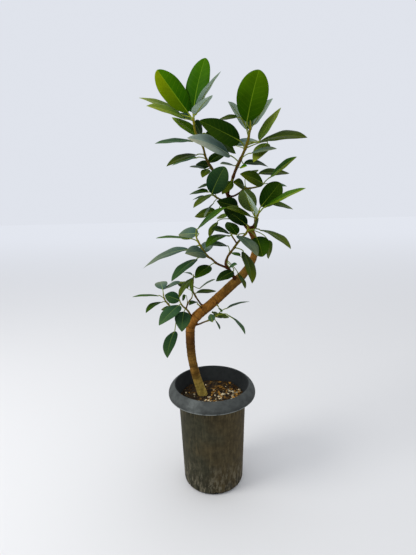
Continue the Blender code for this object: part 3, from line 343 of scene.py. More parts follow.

# Leaves, in centimetres: where the petiole leaves the stem, where the blade starts and ends, the
# blade's real length, its width as it shows, how it faces (its tip is Near or Far, its upper or
# lower side shows) with the form of its outline, how far it arches (percent of its length), a
# shift in depth, and the word for its colour: its age, or a painted sheen or painted shade.
LEAVES = {
    "shoot_crown_left": (
        ((-2.7, 85.9), (-3.7, 87.7), (-9.7, 96.0), 10.7, 5.0, "Fub", 3, 0.0, "young"),
        ((-2.6, 86.6), (-2.6, 87.7), (0.1, 98.0), 11.0, 4.7, "Fub", 3, 0.6, "fresh"),
        ((-2.6, 86.8), (-2.1, 87.9), (3.3, 95.5), 9.8, 1.1, "Nll", 4, -0.9, "silver"),
        ((-2.6, 86.4), (-2.1, 87.4), (1.4, 91.0), 7.6, 1.7, "Nle", 4, -1.5, "silver"),
        ((-2.6, 86.5), (-5.2, 87.4), (-13.8, 90.8), 9.6, 1.2, "Ful", 5, 0.6, "light"),
        ((-2.6, 86.0), (-4.4, 86.6), (-12.3, 89.2), 9.0, 1.5, "Nul", 5, -0.4, "light"),
        ((-2.0, 83.0), (-2.3, 83.2), (-7.1, 86.9), 7.5, 2.0, "Fue", 6, 0.3, "young"),
        ((-2.6, 86.0), (-2.5, 85.9), (-1.0, 82.6), 6.5, 2.1, "Fue", 5, 0.6, "deep"),
        ((-2.6, 86.2), (-3.2, 86.4), (-6.4, 87.5), 5.0, 1.5, "Fue", 5, 1.5, "teal"),
        ((-0.8, 81.1), (-2.9, 82.1), (-11.0, 81.7), 8.5, 1.0, "Nul", 3, 0.0, "teal"),
        ((-1.3, 82.4), (-0.2, 83.5), (6.2, 79.3), 9.0, 3.0, "Fue", 5, 1.0, "deep"),
        ((0.7, 76.8), (0.6, 76.9), (-2.4, 77.3), 4.5, 2.0, "Fue", 6, 0.4, "old"),
        ((0.9, 76.5), (-0.2, 76.3), (-3.8, 76.8), 4.3, 0.5, "Nul", 4, -0.3, "waxy"),
        ((1.0, 76.3), (0.1, 76.2), (-1.1, 74.5), 4.0, 1.8, "Nue", 6, -0.3, "olive"),
        ((-0.4, 79.2), (-2.2, 79.3), (-8.7, 77.0), 7.4, 1.5, "Nul", 8, 0.0, "moss"),
        ((-0.1, 78.3), (-2.2, 78.7), (-7.6, 77.1), 6.8, 1.0, "Ful", 6, 0.5, "teal"),
        ((0.7, 77.0), (0.5, 77.6), (4.2, 79.6), 5.5, 2.0, "Fue", 6, 0.3, "deep"),
        ((-2.6, 86.8), (-2.5, 87.8), (-1.2, 92.4), 9.4, 3.6, "Fub", 6, 1.5, "fresh"),
    ),
    "shoot_crown_right": (
        ((6.8, 77.5), (4.9, 79.0), (-4.1, 82.7), 10.8, 2.9, "Nue", 6, -0.2, "silver"),
        ((8.1, 80.2), (7.0, 81.9), (-1.4, 86.1), 9.9, 4.3, "Nuo", 4, 0.0, "deep"),
        ((9.3, 84.2), (8.5, 85.6), (11.0, 95.6), 10.6, 6.6, "Fub", 3, 0.3, "lime"),
        ((8.8, 82.4), (8.5, 84.4), (4.6, 89.7), 8.0, 1.9, "Fle", 4, 1.0, "silver"),
        ((9.3, 84.0), (9.9, 85.1), (13.9, 90.1), 7.0, 1.8, "Fle", 4, 1.4, "silver"),
        ((8.6, 81.6), (11.2, 81.9), (15.6, 88.3), 8.4, 1.9, "Fue", 4, 0.5, "light"),
        ((8.4, 80.9), (11.1, 81.6), (21.3, 82.2), 10.8, 1.9, "Nul", 7, -0.3, "moss"),
        ((8.1, 80.3), (12.8, 81.3), (9.9, 77.5), 6.4, 2.7, "Nue", 6, 2.0, "light"),
        ((7.1, 78.0), (9.4, 79.4), (14.9, 80.1), 6.2, 0.9, "Nul", 4, -1.4, "waxy"),
        ((7.3, 78.3), (7.9, 77.2), (13.2, 76.3), 6.2, 1.1, "Fue", 12, 0.3, "old"),
        ((6.6, 77.0), (5.8, 76.9), (2.8, 77.3), 4.4, 0.6, "Nul", 4, -0.3, "waxy"),
        ((6.6, 76.6), (7.1, 76.5), (8.6, 76.7), 2.4, 0.8, "Nue", 6, -0.2, "young"),
        ((5.6, 74.6), (5.2, 73.6), (3.1, 70.9), 4.4, 2.2, "Nue", 6, 0.5, "olive"),
        ((8.8, 82.2), (9.4, 84.3), (10.2, 87.6), 8.6, 3.0, "Fub", 6, 2.5, "grown"),
        ((8.9, 82.6), (6.6, 86.6), (2.6, 86.2), 4.6, 1.0, "Ful", 5, 1.4, "olive"),
        ((8.1, 80.2), (6.3, 81.1), (10.9, 81.8), 5.2, 1.7, "Fue", 5, 1.2, "silver"),
    ),
    "shoot_upper_left": (
        ((1.3, 70.8), (0.9, 71.1), (3.8, 76.7), 7.0, 4.5, "Nub", 4, -1.7, "slate"),
        ((1.4, 70.6), (0.9, 71.0), (-3.2, 68.1), 6.0, 1.3, "Nul", 6, 0.0, "olive"),
        ((1.2, 70.9), (0.2, 72.9), (-2.2, 72.3), 4.0, 0.7, "Ful", 4, 0.8, "deep"),
        ((1.1, 71.0), (0.1, 71.5), (-4.0, 71.0), 5.6, 1.0, "Ful", 6, 0.3, "deep"),
        ((1.5, 70.5), (-0.8, 70.6), (-3.35, 69.8), 3.6, 0.4, "Ful", 4, 0.9, "teal"),
        ((3.9, 69.5), (6.5, 68.3), (1.9, 69.5), 5.8, 3.2, "Nue", 6, -0.4, "old"),
        ((2.2, 70.1), (1.2, 69.1), (-0.9, 65.8), 4.6, 0.5, "Nul", 4, -0.4, "waxy"),
        ((3.2, 69.6), (1.7, 67.2), (-3.0, 66.2), 5.8, 2.1, "Fue", 5, 0.0, "moss"),
        ((1.9, 70.3), (1.7, 71.4), (2.6, 74.6), 7.0, 2.8, "Fub", 6, 1.4, "grown"),
    ),
    "shoot_upper_right": (
        ((11.4, 72.5), (12.0, 73.0), (7.0, 75.1), 6.8, 2.8, "Nue", 5, -0.8, "olive"),
        ((8.2, 72.1), (8.4, 74.4), (11.0, 75.9), 4.6, 1.2, "Fue", 5, 0.3, "olive"),
        ((8.0, 72.0), (7.9, 72.6), (5.5, 73.4), 4.8, 2.1, "Nue", 6, 0.0, "olive"),
        ((11.5, 72.6), (11.0, 75.1), (17.7, 75.0), 7.6, 1.6, "Ful", 4, 0.2, "moss"),
        ((11.9, 72.9), (13.5, 74.3), (19.2, 78.4), 7.8, 1.5, "Nul", 3, -0.6, "young"),
        ((11.8, 72.8), (13.4, 72.9), (17.2, 72.3), 5.2, 0.9, "Ful", 5, 1.2, "teal"),
        ((9.2, 72.1), (9.2, 71.6), (8.0, 70.1), 6.8, 2.8, "Fub", 6, 0.8, "grown"),
    ),
    "shoot_fork_right": (
        ((10.6, 65.6), (12.5, 68.0), (21.3, 71.8), 10.2, 1.3, "Nul", 3, -0.3, "young"),
        ((10.9, 66.3), (13.8, 68.5), (18.7, 67.3), 6.2, 1.1, "Ful", 7, -1.0, "olive"),
        ((10.9, 66.4), (11.6, 68.1), (15.7, 73.1), 7.8, 4.6, "Fub", 4, 0.6, "deep"),
        ((10.4, 65.3), (9.7, 67.0), (7.9, 71.8), 7.4, 3.8, "Nlb", 4, 0.0, "olive"),
        ((10.3, 65.0), (9.5, 66.0), (3.9, 68.0), 7.0, 1.3, "Nul", 4, -1.6, "olive"),
        ((10.5, 65.8), (10.9, 65.5), (10.6, 63.2), 3.2, 0.8, "Nue", 4, -0.4, "olive"),
        ((10.6, 65.9), (10.3, 66.4), (7.9, 71.6), 7.6, 0.9, "Nll", 4, -3.3, "silver"),
    ),
    "shoot_inner_right": (
        ((8.6, 62.9), (8.5, 64.1), (3.4, 67.7), 6.8, 2.8, "Fue", 5, 0.0, "old"),
        ((8.6, 62.8), (11.5, 63.0), (18.4, 58.5), 8.8, 1.4, "Nul", 8, 0.0, "olive"),
        ((8.2, 62.2), (6.7, 61.8), (10.9, 57.0), 8.0, 2.2, "Nue", 6, -1.0, "waxy"),
        ((8.7, 63.1), (10.6, 61.4), (12.1, 56.9), 7.4, 4.3, "Nub", 5, 0.6, "deep"),
        ((8.7, 63.2), (13.1, 60.5), (13.4, 56.4), 5.8, 1.6, "Fue", 5, 1.6, "olive"),
        ((5.7, 59.1), (7.8, 58.1), (9.7, 50.7), 8.4, 2.3, "Nue", 4, 0.0, "olive"),
        ((4.7, 57.9), (4.1, 59.6), (0.3, 59.7), 5.2, 1.2, "Nul", 6, 0.2, "teal"),
        ((3.9, 56.1), (4.6, 54.8), (6.35, 55.3), 2.8, 0.9, "Nue", 4, -0.5, "teal"),
        ((3.85, 56.0), (5.4, 53.7), (1.45, 51.4), 5.2, 2.2, "Nue", 5, -1.2, "old"),
        ((3.95, 56.3), (6.6, 53.1), (8.1, 49.5), 4.6, 1.0, "Nue", 4, -1.2, "olive"),
        ((5.0, 62.2), (6.3, 62.1), (4.1, 64.9), 5.6, 2.5, "Fue", 6, 0.2, "grown"),
        ((5.1, 62.0), (4.5, 62.5), (0.6, 63.2), 5.4, 1.3, "Nue", 6, 0.0, "old"),
        ((5.3, 61.7), (4.6, 61.8), (-0.7, 59.2), 7.4, 1.6, "Nul", 13, -0.3, "deep"),
    ),
    "shoot_inner_left": (
        ((-2.75, 61.7), (-2.4, 63.6), (4.0, 68.1), 8.4, 1.2, "Nul", 3, 0.0, "grown"),
        ((-2.7, 61.6), (-2.3, 62.5), (-6.7, 62.3), 6.4, 2.8, "Fue", 5, 0.4, "waxy"),
        ((-2.4, 60.6), (-4.3, 61.4), (-11.8, 61.6), 7.8, 0.5, "Nul", 3, 0.0, "grown"),
        ((-1.9, 59.8), (-4.6, 59.0), (-15.05, 54.7), 12.2, 1.5, "Ful", 7, 0.4, "waxy"),
        ((-0.6, 57.7), (-0.8, 57.8), (-5.4, 58.0), 6.6, 2.7, "Nue", 6, -0.4, "waxy"),
        ((-0.3, 57.3), (-2.9, 56.7), (-8.7, 51.6), 8.4, 2.0, "Nue", 6, 0.3, "slate"),
        ((1.5, 55.8), (0.1, 55.1), (-3.3, 52.2), 5.8, 2.6, "Nue", 5, 0.0, "deep"),
        ((-1.3, 58.7), (-1.5, 58.1), (1.0, 60.9), 5.2, 2.4, "Fue", 5, 0.6, "silver"),
    ),
    "shoot_low_left": (
        ((-3.7, 48.8), (-5.1, 49.9), (-7.3, 51.5), 4.8, 1.8, "Fue", 5, 0.4, "olive"),
        ((-3.7, 52.2), (-3.5, 52.6), (-7.1, 47.6), 6.8, 1.3, "Nul", 7, -0.4, "olive"),
        ((-3.6, 52.6), (-4.0, 53.1), (-5.9, 53.6), 3.0, 0.4, "Ful", 8, 0.2, "waxy"),
        ((-3.3, 47.9), (-3.1, 48.8), (1.55, 49.1), 5.4, 1.1, "Ful", 4, 0.6, "moss"),
        ((-3.9, 50.4), (-2.3, 49.9), (1.4, 51.9), 5.0, 0.4, "Nul", 4, -0.3, "waxy"),
        ((-3.8, 51.2), (-6.6, 51.3), (-10.8, 49.7), 5.8, 1.0, "Ful", 5, 0.6, "waxy"),
        ((-3.9, 50.0), (-4.6, 50.6), (-6.2, 50.6), 5.6, 2.2, "Fub", 6, 1.6, "olive"),
    ),
    "shoot_low_front": (
        ((-6.9, 46.5), (-7.0, 47.1), (-10.4, 48.4), 5.0, 2.8, "Fue", 5, -1.0, "slate"),
        ((-6.7, 46.1), (-7.2, 45.9), (-12.1, 41.0), 7.6, 2.9, "Nue", 6, 0.0, "teal"),
        ((-5.6, 45.0), (-6.1, 44.3), (-6.8, 39.3), 6.6, 3.6, "Nue", 5, -0.4, "teal"),
        ((-4.0, 48.3), (-4.1, 48.9), (-3.7, 52.2), 4.4, 1.1, "Nue", 5, -0.2, "olive"),
        ((-5.2, 46.2), (-5.6, 48.2), (-6.4, 47.0), 2.6, 0.9, "Fue", 5, 1.0, "deep"),
    ),
    "shoot_far_left": (
        ((-10.7, 48.4), (-10.8, 49.8), (-11.3, 51.6), 6.2, 3.2, "Fub", 5, 0.2, "waxy"),
        ((-10.5, 47.5), (-11.9, 48.35), (-17.9, 48.1), 6.4, 0.55, "Nul", 2, 0.0, "grown"),
        ((-10.0, 46.6), (-11.1, 46.75), (-15.0, 44.1), 5.2, 1.2, "Nul", 12, -0.2, "deep"),
        ((-9.2, 45.6), (-9.5, 45.3), (-11.4, 44.9), 3.0, 0.9, "Fue", 5, 0.3, "olive"),
        ((-7.8, 44.3), (-8.5, 39.5), (-10.5, 32.7), 7.4, 2.9, "Nue", 4, 0.2, "slate"),
        ((-9.6, 46.1), (-9.2, 46.9), (-8.3, 48.3), 5.4, 2.2, "Fub", 6, 0.8, "grown"),
    ),
    "shoot_low_right": (
        ((1.3, 43.1), (1.7, 43.1), (4.4, 42.7), 3.8, 1.2, "Fue", 5, 0.3, "olive"),
        ((1.5, 43.3), (4.2, 43.2), (8.1, 38.3), 6.8, 0.7, "Nul", 8, -0.3, "teal"),
        ((1.5, 43.3), (3.8, 44.9), (9.2, 46.4), 5.8, 0.5, "Ful", 5, 0.6, "teal"),
        ((1.2, 43.0), (1.1, 43.6), (0.3, 43.9), 1.8, 0.6, "Nue", 5, -0.2, "olive"),
        ((-0.5, 42.0), (0.5, 41.7), (0.0, 43.6), 3.2, 1.7, "Nle", 5, -0.4, "teal"),
        ((0.4, 42.5), (1.2, 42.0), (2.1, 39.7), 3.0, 0.5, "Nul", 4, -0.2, "teal"),
        ((0.3, 42.4), (0.9, 43.0), (2.3, 43.1), 4.6, 1.8, "Fub", 6, 0.8, "olive"),
    ),
    "sprout_leader": (
        ((5.0, 65.6), (4.3, 66.2), (1.8, 65.8), 3.8, 1.1, "Fue", 5, 0.5, "light"),
        ((4.9, 65.5), (1.9, 64.9), (0.2, 61.5), 4.6, 1.4, "Nue", 6, -0.2, "olive"),
    ),
    "sprout_trunk_top": (
        ((7.7, 56.2), (6.95, 57.2), (5.0, 58.0), 3.2, 0.9, "Fue", 5, 0.4, "grown"),
    ),
    "sprout_bend": (
        ((-2.9, 46.1), (-3.1, 46.6), (-4.9, 45.8), 3.0, 1.0, "Nue", 12, 0.0, "old"),
    ),
    "sprout_under": (
        ((1.7, 45.7), (2.1, 45.0), (2.7, 43.9), 2.0, 0.6, "Nue", 5, 0.0, "grown"),
    ),
}

# A leaf's word gives its colour: the leaf settings hold one for each word, an age or a painted
# sheen or shade. The painted light and shade on the halves of a new blade differ most, and the
# painted sheen on the upper side of a silver one fades into painted shade towards its base.
NEW = ("young",)
PAINTED_SHEEN_WORDS = ("silver",)

# How much lighter a blade's lower half is painted than its upper half, as painted light and
# painted shade: on most leaves, and on new ones.
PAINTED_HALF_LIGHT = (0.15, 0.75)

# A blade's least width and its greatest sideways bend, as parts of its length, and how much darker
# or lighter than its word's colour it may be.
WIDTH_RATIO = 0.52
BEND = 0.025
SHADES = (0.86, 1.16)

# How blunt a blade's base and tip are: blunt, oval, egg-shaped or lance-shaped. Less is blunter.
FORMS = {"b": (0.62, 0.60), "o": (0.50, 0.78), "e": (0.62, 0.92), "l": (0.80, 0.95)}

# How softly a blade folds at its rib, how far its margin curls down, how its waves run along and
# across it, half the groove's width, and how near its two skins' points are joined.
FOLD_SOFTNESS = 0.12
CURL = 0.10
WAVE_TURNS = 15.0
WAVE_SKEW = 2.0
GROOVE_HALF = 0.0016
MERGE = 0.000004

# A petiole's lean in depth in centimetres, if its blade points at the viewer or away, its radius on
# a leaf of the usual length, its least radius, its bow and rise, how much thicker it is at its foot
# and head, and how much of the leaf's colour it has.
PETIOLE_REACH = 1.4
PETIOLE_R = 0.0013
USUAL_LENGTH = 0.1
PETIOLE_LEAST = 0.0007
PETIOLE_BOW = 0.35
PETIOLE_RISE = 0.25
PETIOLE_FOOT = 0.7
PETIOLE_HEAD = 0.25
PETIOLE_TINT = 0.25
PETIOLE_POINTS = 9

# Where a midrib ends along its blade, and how deep it lies, in parts of its radius and in metres.
RIB_END = 0.9
RIB_SINK = 0.62
RIB_DEPTH = 0.0002
RIB_POINTS = 8

# Side veins on each half of a blade, and how much they slant.
VEINS = 9.0
VEIN_SLANT = 0.17

# How far along a stem it swells at a petiole's foot and how much, how thin it starts inside the wood
# that carries it, and how late along it the bark turns green.
KNEE_REACH = 0.004
KNEE_SWELL = 0.28
HIDDEN_START = 0.8
GREENING = 1.7

# Points for each row of a stem and of the trunk, and places tried from one to the next for the foot
# of a petiole.
STEM_STEPS = 10
TRUNK_STEPS = 8
SEARCH_STEPS = 10

# A stub's radius against its stem's, how much of that it loses, and how clear of the wood it ends.
STUB_WIDE = 1.5
STUB_TAPER = 0.35
STUB_CLEAR = 0.004

# The trunk's leader goes on as this shoot, from this point of its stem. The branch carries the inner
# shoots, and the trunk all others.
LEADER_SHOOT = "shoot_crown_right"
LEADER_START = 8
BRANCH_SHOOTS = "shoot_inner"

# How much paler or darker the bark is painted by the way that it faces, as painted light and
# painted shade, and the way that gets the most painted light.
PAINTED_LIGHT = 0.50
PAINTED_LIGHT_WAY = (-0.45, -0.15, 0.88)

# Ring scars round the bark: room between them, strength, width, how uneven they run, the trunk's
# radius from which they stand out in full, and the length of bark that they are drawn for.
RING_GAPS = (0.007, 0.021)
RING_STRENGTHS = (0.35, 1.0)
RING_WIDTH = 0.0011
RING_WOBBLE = 0.0016
RING_RADIUS = 0.008
RING_RUN = 2.0

# The depth of the bark's long furrows, its seed, rounds of smoothing, and points worked on at a time.
FURROW = 0.00028
BARK_SEED = 11
SMOOTH_ROUNDS = 4
BATCH = 4000

# The soil's top: its height, its lumps as rise and fineness, how far its edge drops, the rings and
# sides of its mesh, and its gap to the wall.
SOIL_Z = 0.2265
SOIL_LUMPS = ((0.0032, 60.0), (0.0012, 190.0), (0.0007, 520.0))
SOIL_EDGE = 0.0015
SOIL_RINGS = 34
SOIL_SIDES = 144
GAP = 0.0003

# The disc that grains are strewn on: its faces each way, how far it is sunk into the soil, and how
# far grains keep from the wall and from the trunk's middle line.
DISC_FACES = 70
DISC_SINK = 0.0003
WALL_CLEAR = 0.003
TRUNK_CLEAR = 0.0145

# The heap of bark chips: its middle and its radius.
HEAP = (0.018, 0.034)
HEAP_R = 0.016

# Grains: name, the settings' word for them, how many on a square metre, length, width and height
# against the size, roundness, the darkest one's shade, roughness, and how many more the heap has.
GRAINS = (
    ("soil_crumbs", "crumb", 60000.0, (1.0, 0.9, 0.7), 1, 0.06, 0.9, 0.0),
    ("bark_chips", "chip", 14000.0, (1.0, 0.55, 0.28), 2, 0.12, 0.8, 7.0),
    ("pumice", "pumice", 9000.0, (1.0, 0.9, 0.8), 2, 0.30, 0.85, -1.0),
)

# The smallest grain of a kind against its largest one, and the first kind's seed.
SMALLEST = 0.3
FIRST_SEED = 3


def size_property(name, words, default):
    """A length that a user may change."""
    return bpy.props.FloatProperty(name=name, description=words, default=default, min=0.0, precision=5,
                                   subtype="DISTANCE", unit="LENGTH")


def colour_property(name, words, default):
    """A colour that a user may change."""
    return bpy.props.FloatVectorProperty(name=name, description=words, default=default, size=3,
                                         min=0.0, max=1.0, subtype="COLOR")


def count_property(name, words, default, least):
    """A number of points or faces that a user may change."""
    return bpy.props.IntProperty(name=name, description=words, default=default, min=least,
                                 subtype="UNSIGNED")


def strength_property(name, words, default):
    """A strength or part of something that a user may change."""
    return bpy.props.FloatProperty(name=name, description=words, default=default, min=0.0,
                                   soft_max=1.0, subtype="FACTOR")


class FIG_PG_pot(bpy.types.PropertyGroup):
    """Sizes and colours of the pot."""
    steps: count_property("Steps", "Faces round the pot", 160, 24)
    body: colour_property("Body", "Plastic of the pot's wall", (0.039, 0.037, 0.022))
    collar: colour_property("Collar", "Plastic of the collar, bleached by the sun", (0.062, 0.067, 0.063))
    dust: colour_property("Dust", "Dried soil on the wall", (0.115, 0.088, 0.042))
    scuff: colour_property("Scuff", "Pale scratched plastic", (0.175, 0.155, 0.105))
    # The inner wall's colour is painted shade in the pot's mouth, darker than the plastic outside.
    inside: colour_property("Inside", "Plastic of the pot's inner wall", (0.028, 0.031, 0.031))


class FIG_PG_soil(bpy.types.PropertyGroup):
    """Sizes and colours of the potting mix."""
    earth: colour_property("Earth", "Dark crumbs of peat and bark", (0.012, 0.007, 0.004))
    crumb: colour_property("Crumb", "Lighter crumbs among them", (0.078, 0.058, 0.028))
    pumice: colour_property("Pumice", "Cream grains", (0.66, 0.54, 0.33))
    chip: colour_property("Chip", "Bark chips", (0.42, 0.20, 0.026))
    pumice_size: size_property("Pumice size", "Radius of the largest pumice grain", 0.0040)
    chip_size: size_property("Chip size", "Half the length of the longest bark chip", 0.0062)
    crumb_size: size_property("Crumb size", "Radius of the largest soil crumb", 0.0022)


class FIG_PG_wood(bpy.types.PropertyGroup):
    """Sizes and colours of the trunk and twigs."""
    foot: colour_property("Foot", "Bark next to the soil", (0.460, 0.335, 0.075))
    low: colour_property("Tan", "Bark near the soil and below the fork", (0.215, 0.112, 0.022))
    dark: colour_property("Dark", "Bark below the bend", (0.150, 0.062, 0.014))
    mid: colour_property("Ochre", "Bark of the bend and the slanting trunk", (0.270, 0.112, 0.018))
    high: colour_property("Leader", "Bark above the fork", (0.090, 0.034, 0.011))
    twig: colour_property("Twig", "Thin woody stems", (0.070, 0.021, 0.006))
    green: colour_property("Green stem", "Young stems at the shoots' ends", (0.29, 0.26, 0.010))
    voxel: size_property("Fineness", "Size of the bark's faces", 0.0010)
    scar: size_property("Scar height", "How far the ring scars stand out", 0.0006)


class FIG_PG_leaf(bpy.types.PropertyGroup):
    """Sizes and colours of the leaves."""
    columns: count_property("Columns", "Points across a blade", 15, 5)
    rows: count_property("Rows", "Points along a blade", 24, 5)
    thickness: size_property("Thickness", "Thickness of a blade at its rib", 0.0007)
    groove: size_property("Groove", "Depth of the valley over the rib", 0.00035)
    fold: bpy.props.FloatProperty(name="Fold", description="How steeply the halves of a blade rise",
                                  default=math.radians(11.0), subtype="ANGLE")
    wave: strength_property("Wave", "How much the margin waves, as a part of its width", 0.022)
    young: colour_property("Young", "Newest leaves", (0.080, 0.155, 0.001))
    light: colour_property("Light", "New leaves seen flat", (0.150, 0.215, 0.022))
    lime: colour_property("Lime", "New leaves grown flat", (0.041, 0.108, 0.001))
    fresh: colour_property("Fresh", "Leaves of this season", (0.026, 0.095, 0.001))
    grown: colour_property("Grown", "Full-grown leaves", (0.028, 0.078, 0.004))
    olive: colour_property("Olive", "Leaves in the shade of others", (0.046, 0.074, 0.004))
    deep: colour_property("Deep", "Dark leaves", (0.016, 0.046, 0.002))
    old: colour_property("Old", "Oldest leaves", (0.011, 0.030, 0.004))
    # This colour is a painted grey sheen darkened by painted shade, not a bloom.
    slate: colour_property("Slate", "Older leaves with a grey bloom", (0.018, 0.050, 0.016))
    moss: colour_property("Moss", "Leaves under the crown", (0.026, 0.044, 0.002))
    # This colour is a painted blue-grey sheen, the sky's reflection painted into a dark leaf, not a bloom.
    teal: colour_property("Teal", "Dark leaves with a blue bloom", (0.032, 0.078, 0.030))
    # This colour is a painted grey sheen, the sky's reflection painted into the leaf, not a bloom.
    waxy: colour_property("Waxy", "Leaves with a grey bloom", (0.090, 0.130, 0.080))
    # This colour is partly a leaf's pale underside and partly a painted sheen, the sky's reflection
    # painted into the leaf.
    silver: colour_property("Silver", "Palest leaves", (0.250, 0.320, 0.260))
    under: colour_property("Underside", "Lower side of every leaf", (0.175, 0.240, 0.140))
    rib: colour_property("Rib", "Midribs and petioles", (0.27, 0.33, 0.022))


class FIG_PG_stage(bpy.types.PropertyGroup):
    """The floor, backdrop and light."""
    floor: colour_property("Floor", "Colour of the floor", (0.72, 0.71, 0.69))
    sky: colour_property("Backdrop colour", "Colour of the light all round", (0.80, 0.83, 0.90))
    backdrop_power: strength_property("Backdrop", "How bright the backdrop looks", 0.93)
    sky_power: strength_property("Sky power", "Strength of the light from above", 0.70)
    back_power: strength_property("Back power", "Strength of the light from behind", 0.75)
    front_power: strength_property("Front power", "Strength of the light from the front", 0.42)
    key_power: bpy.props.FloatProperty(name="Key power", description="Power of the lamp at the upper left",
                                       default=24.0, min=0.0, subtype="POWER", unit="POWER")


class Wire:
    """A node's output, whose operators add Math nodes to its tree."""

    def __init__(self, graph, socket):
        self.graph = graph
        self.socket = socket

    def other(self, name):
        """Another output of the same node."""
        return Wire(self.graph, self.socket.node.outputs[name])

    def math(self, operation, *values):
        """This value and others through a Math node."""
        return self.graph.math(operation, self, *values)

    def __add__(self, other):
        return self.math("ADD", other)

    def __radd__(self, other):
        return self.math("ADD", other)

    def __sub__(self, other):
        return self.math("SUBTRACT", other)

    def __rsub__(self, other):
        return self.graph.math("SUBTRACT", other, self)

    def __mul__(self, other):
        return self.math("MULTIPLY", other)

    def __rmul__(self, other):
        return self.math("MULTIPLY", other)

    def __truediv__(self, other):
        return self.math("DIVIDE", other)

    def __rtruediv__(self, other):
        return self.graph.math("DIVIDE", other, self)

    def __pow__(self, other):
        return self.math("POWER", other)

    def step(self, low, high):
        """0 below low, 1 above high and smooth between. The other way round where low is higher."""
        values = {"Value": self, "From Min": low, "From Max": high}
        return self.graph.node("ShaderNodeMapRange", {"interpolation_type": "SMOOTHSTEP"}, values)


class Graph:
    """Adds nodes to a node tree."""

    def __init__(self, tree):
        self.tree = tree

    def node(self, kind, settings=None, values=None, out=0):
        """Adds a node with its settings and its sockets' values or links, and gives one output."""
        made = self.tree.nodes.new(kind)
        for key, value in (settings or {}).items():
            setattr(made, key, value)
        for key, value in (values or {}).items():
            if isinstance(value, Wire):
                self.tree.links.new(value.socket, made.inputs[key])
            else:
                made.inputs[key].default_value = value
        return Wire(self, made.outputs[out]) if made.outputs else None

    def math(self, operation, *values):
        """A Math node."""
        return self.node("ShaderNodeMath", {"operation": operation}, dict(enumerate(values)))

    def mix(self, factor, first, second):
        """A colour between two."""
        first, second = ((*one, 1.0) if isinstance(one, tuple) else one for one in (first, second))
        return self.node("ShaderNodeMix", {"data_type": "RGBA"}, {0: factor, 6: first, 7: second}, out=2)

    def scale(self, vector, factor):
        """A vector or colour times a number."""
        return self.node("ShaderNodeVectorMath", {"operation": "SCALE"}, {0: vector, "Scale": factor})

    def add(self, first, second):
        """The sum of two vectors."""
        return self.node("ShaderNodeVectorMath", {"operation": "ADD"}, {0: first, 1: second})

    def split(self, vector):
        """The three parts of a vector."""
        x = self.node("ShaderNodeSeparateXYZ", None, {0: vector})
        return x, x.other("Y"), x.other("Z")

    def noise(self, place, scale, detail=3.0, rough=0.55):
        """Cloudy noise, about 0.5 in the middle."""
        return self.node("ShaderNodeTexNoise", None,
                         {"Vector": place, "Scale": scale, "Detail": detail, "Roughness": rough})

    def stretched(self, place, scale):
        """A place scaled differently along each axis."""
        return self.node("ShaderNodeMapping", None, {"Vector": place, "Scale": scale})


class Finish(Graph):
    """A Principled material and the graph of its nodes."""

    def __init__(self, name, **sockets):
        self.material = bpy.data.materials.new(name)
        self.material.use_nodes = True
        super().__init__(self.material.node_tree)
        self.shader = self.tree.nodes["Principled BSDF"]
        for key, value in sockets.items():
            self.shader.inputs[key.replace("_", " ")].default_value = value
        self.place = self.node("ShaderNodeTexCoord", out="Object")

    def feed(self, name, wire):
        """Links a value to the shader."""
        self.tree.links.new(wire.socket, self.shader.inputs[name])

    def bump(self, height, distance):
        """Links a height, in units of a distance in metres, to the shader's normal."""
        self.feed("Normal", self.node("ShaderNodeBump", None, {"Height": height, "Distance": distance}))

    def attribute(self, name, out="Color"):
        """A mesh attribute."""
        return self.node("ShaderNodeAttribute", {"attribute_name": name}, out=out)


class GeometryGraph(Graph):
    """A Geometry Nodes tree with named inputs."""

    def __init__(self, name, **inputs):
        super().__init__(bpy.data.node_groups.new(name, "GeometryNodeTree"))
        face = self.tree.interface
        face.new_socket("Geometry", in_out="INPUT", socket_type="NodeSocketGeometry")
        face.new_socket("Geometry", in_out="OUTPUT", socket_type="NodeSocketGeometry")
        for key, kind in inputs.items():
            face.new_socket(key.replace("_", " "), in_out="INPUT", socket_type="NodeSocket" + kind)
        self.start = self.node("NodeGroupInput")
        self.position = self.node("GeometryNodeInputPosition")

    def input(self, name):
        """One of the tree's inputs."""
        return self.start.other(name)

    def named(self, name, kind="FLOAT"):
        """A named attribute."""
        return self.node("GeometryNodeInputNamedAttribute", {"data_type": kind}, {"Name": name})

    def store(self, geometry, name, value, kind="FLOAT", domain="POINT"):
        """The geometry with a named attribute."""
        return self.node("GeometryNodeStoreNamedAttribute", {"data_type": kind, "domain": domain},
                         {"Geometry": geometry, "Name": name, "Value": value})

    def finish(self, geometry, *materials):
        """Ends the tree: instances made real, then each material on its faces."""
        made = self.node("GeometryNodeRealizeInstances", None, {"Geometry": geometry})
        for material, selection in materials:
            values = {"Geometry": made, "Material": self.input(material)}
            if selection:
                values["Selection"] = selection
            made = self.node("GeometryNodeSetMaterial", None, values)
        self.node("NodeGroupOutput", None, {"Geometry": made})


def linked(name, data):
    """A new object in the scene."""
    made = bpy.data.objects.new(name, data)
    bpy.context.scene.collection.objects.link(made)
    return made


def mesh_from(name, shape):
    """A mesh with the faces of a finished BMesh, which is freed."""
    mesh = bpy.data.meshes.new(name)
    shape.to_mesh(mesh)
    shape.free()
    return mesh


def grow(name, source, tree, **values):
    """A plain mesh object from a source mesh and a Geometry Nodes tree with its inputs."""
    made = linked(name, source)
    modifier = made.modifiers.new(tree.name, "NODES")
    modifier.node_group = tree
    for item in tree.interface.items_tree:
        label = item.name.replace(" ", "_")
        if item.in_out == "INPUT" and label in values:
            modifier[item.identifier] = values[label]
    return plain(made)


def plain(made):
    """An object with its modifiers applied."""
    depsgraph = bpy.context.evaluated_depsgraph_get()
    depsgraph.update()
    mesh = bpy.data.meshes.new_from_object(made.evaluated_get(depsgraph))
    made.modifiers.clear()
    made.data = mesh
    return made


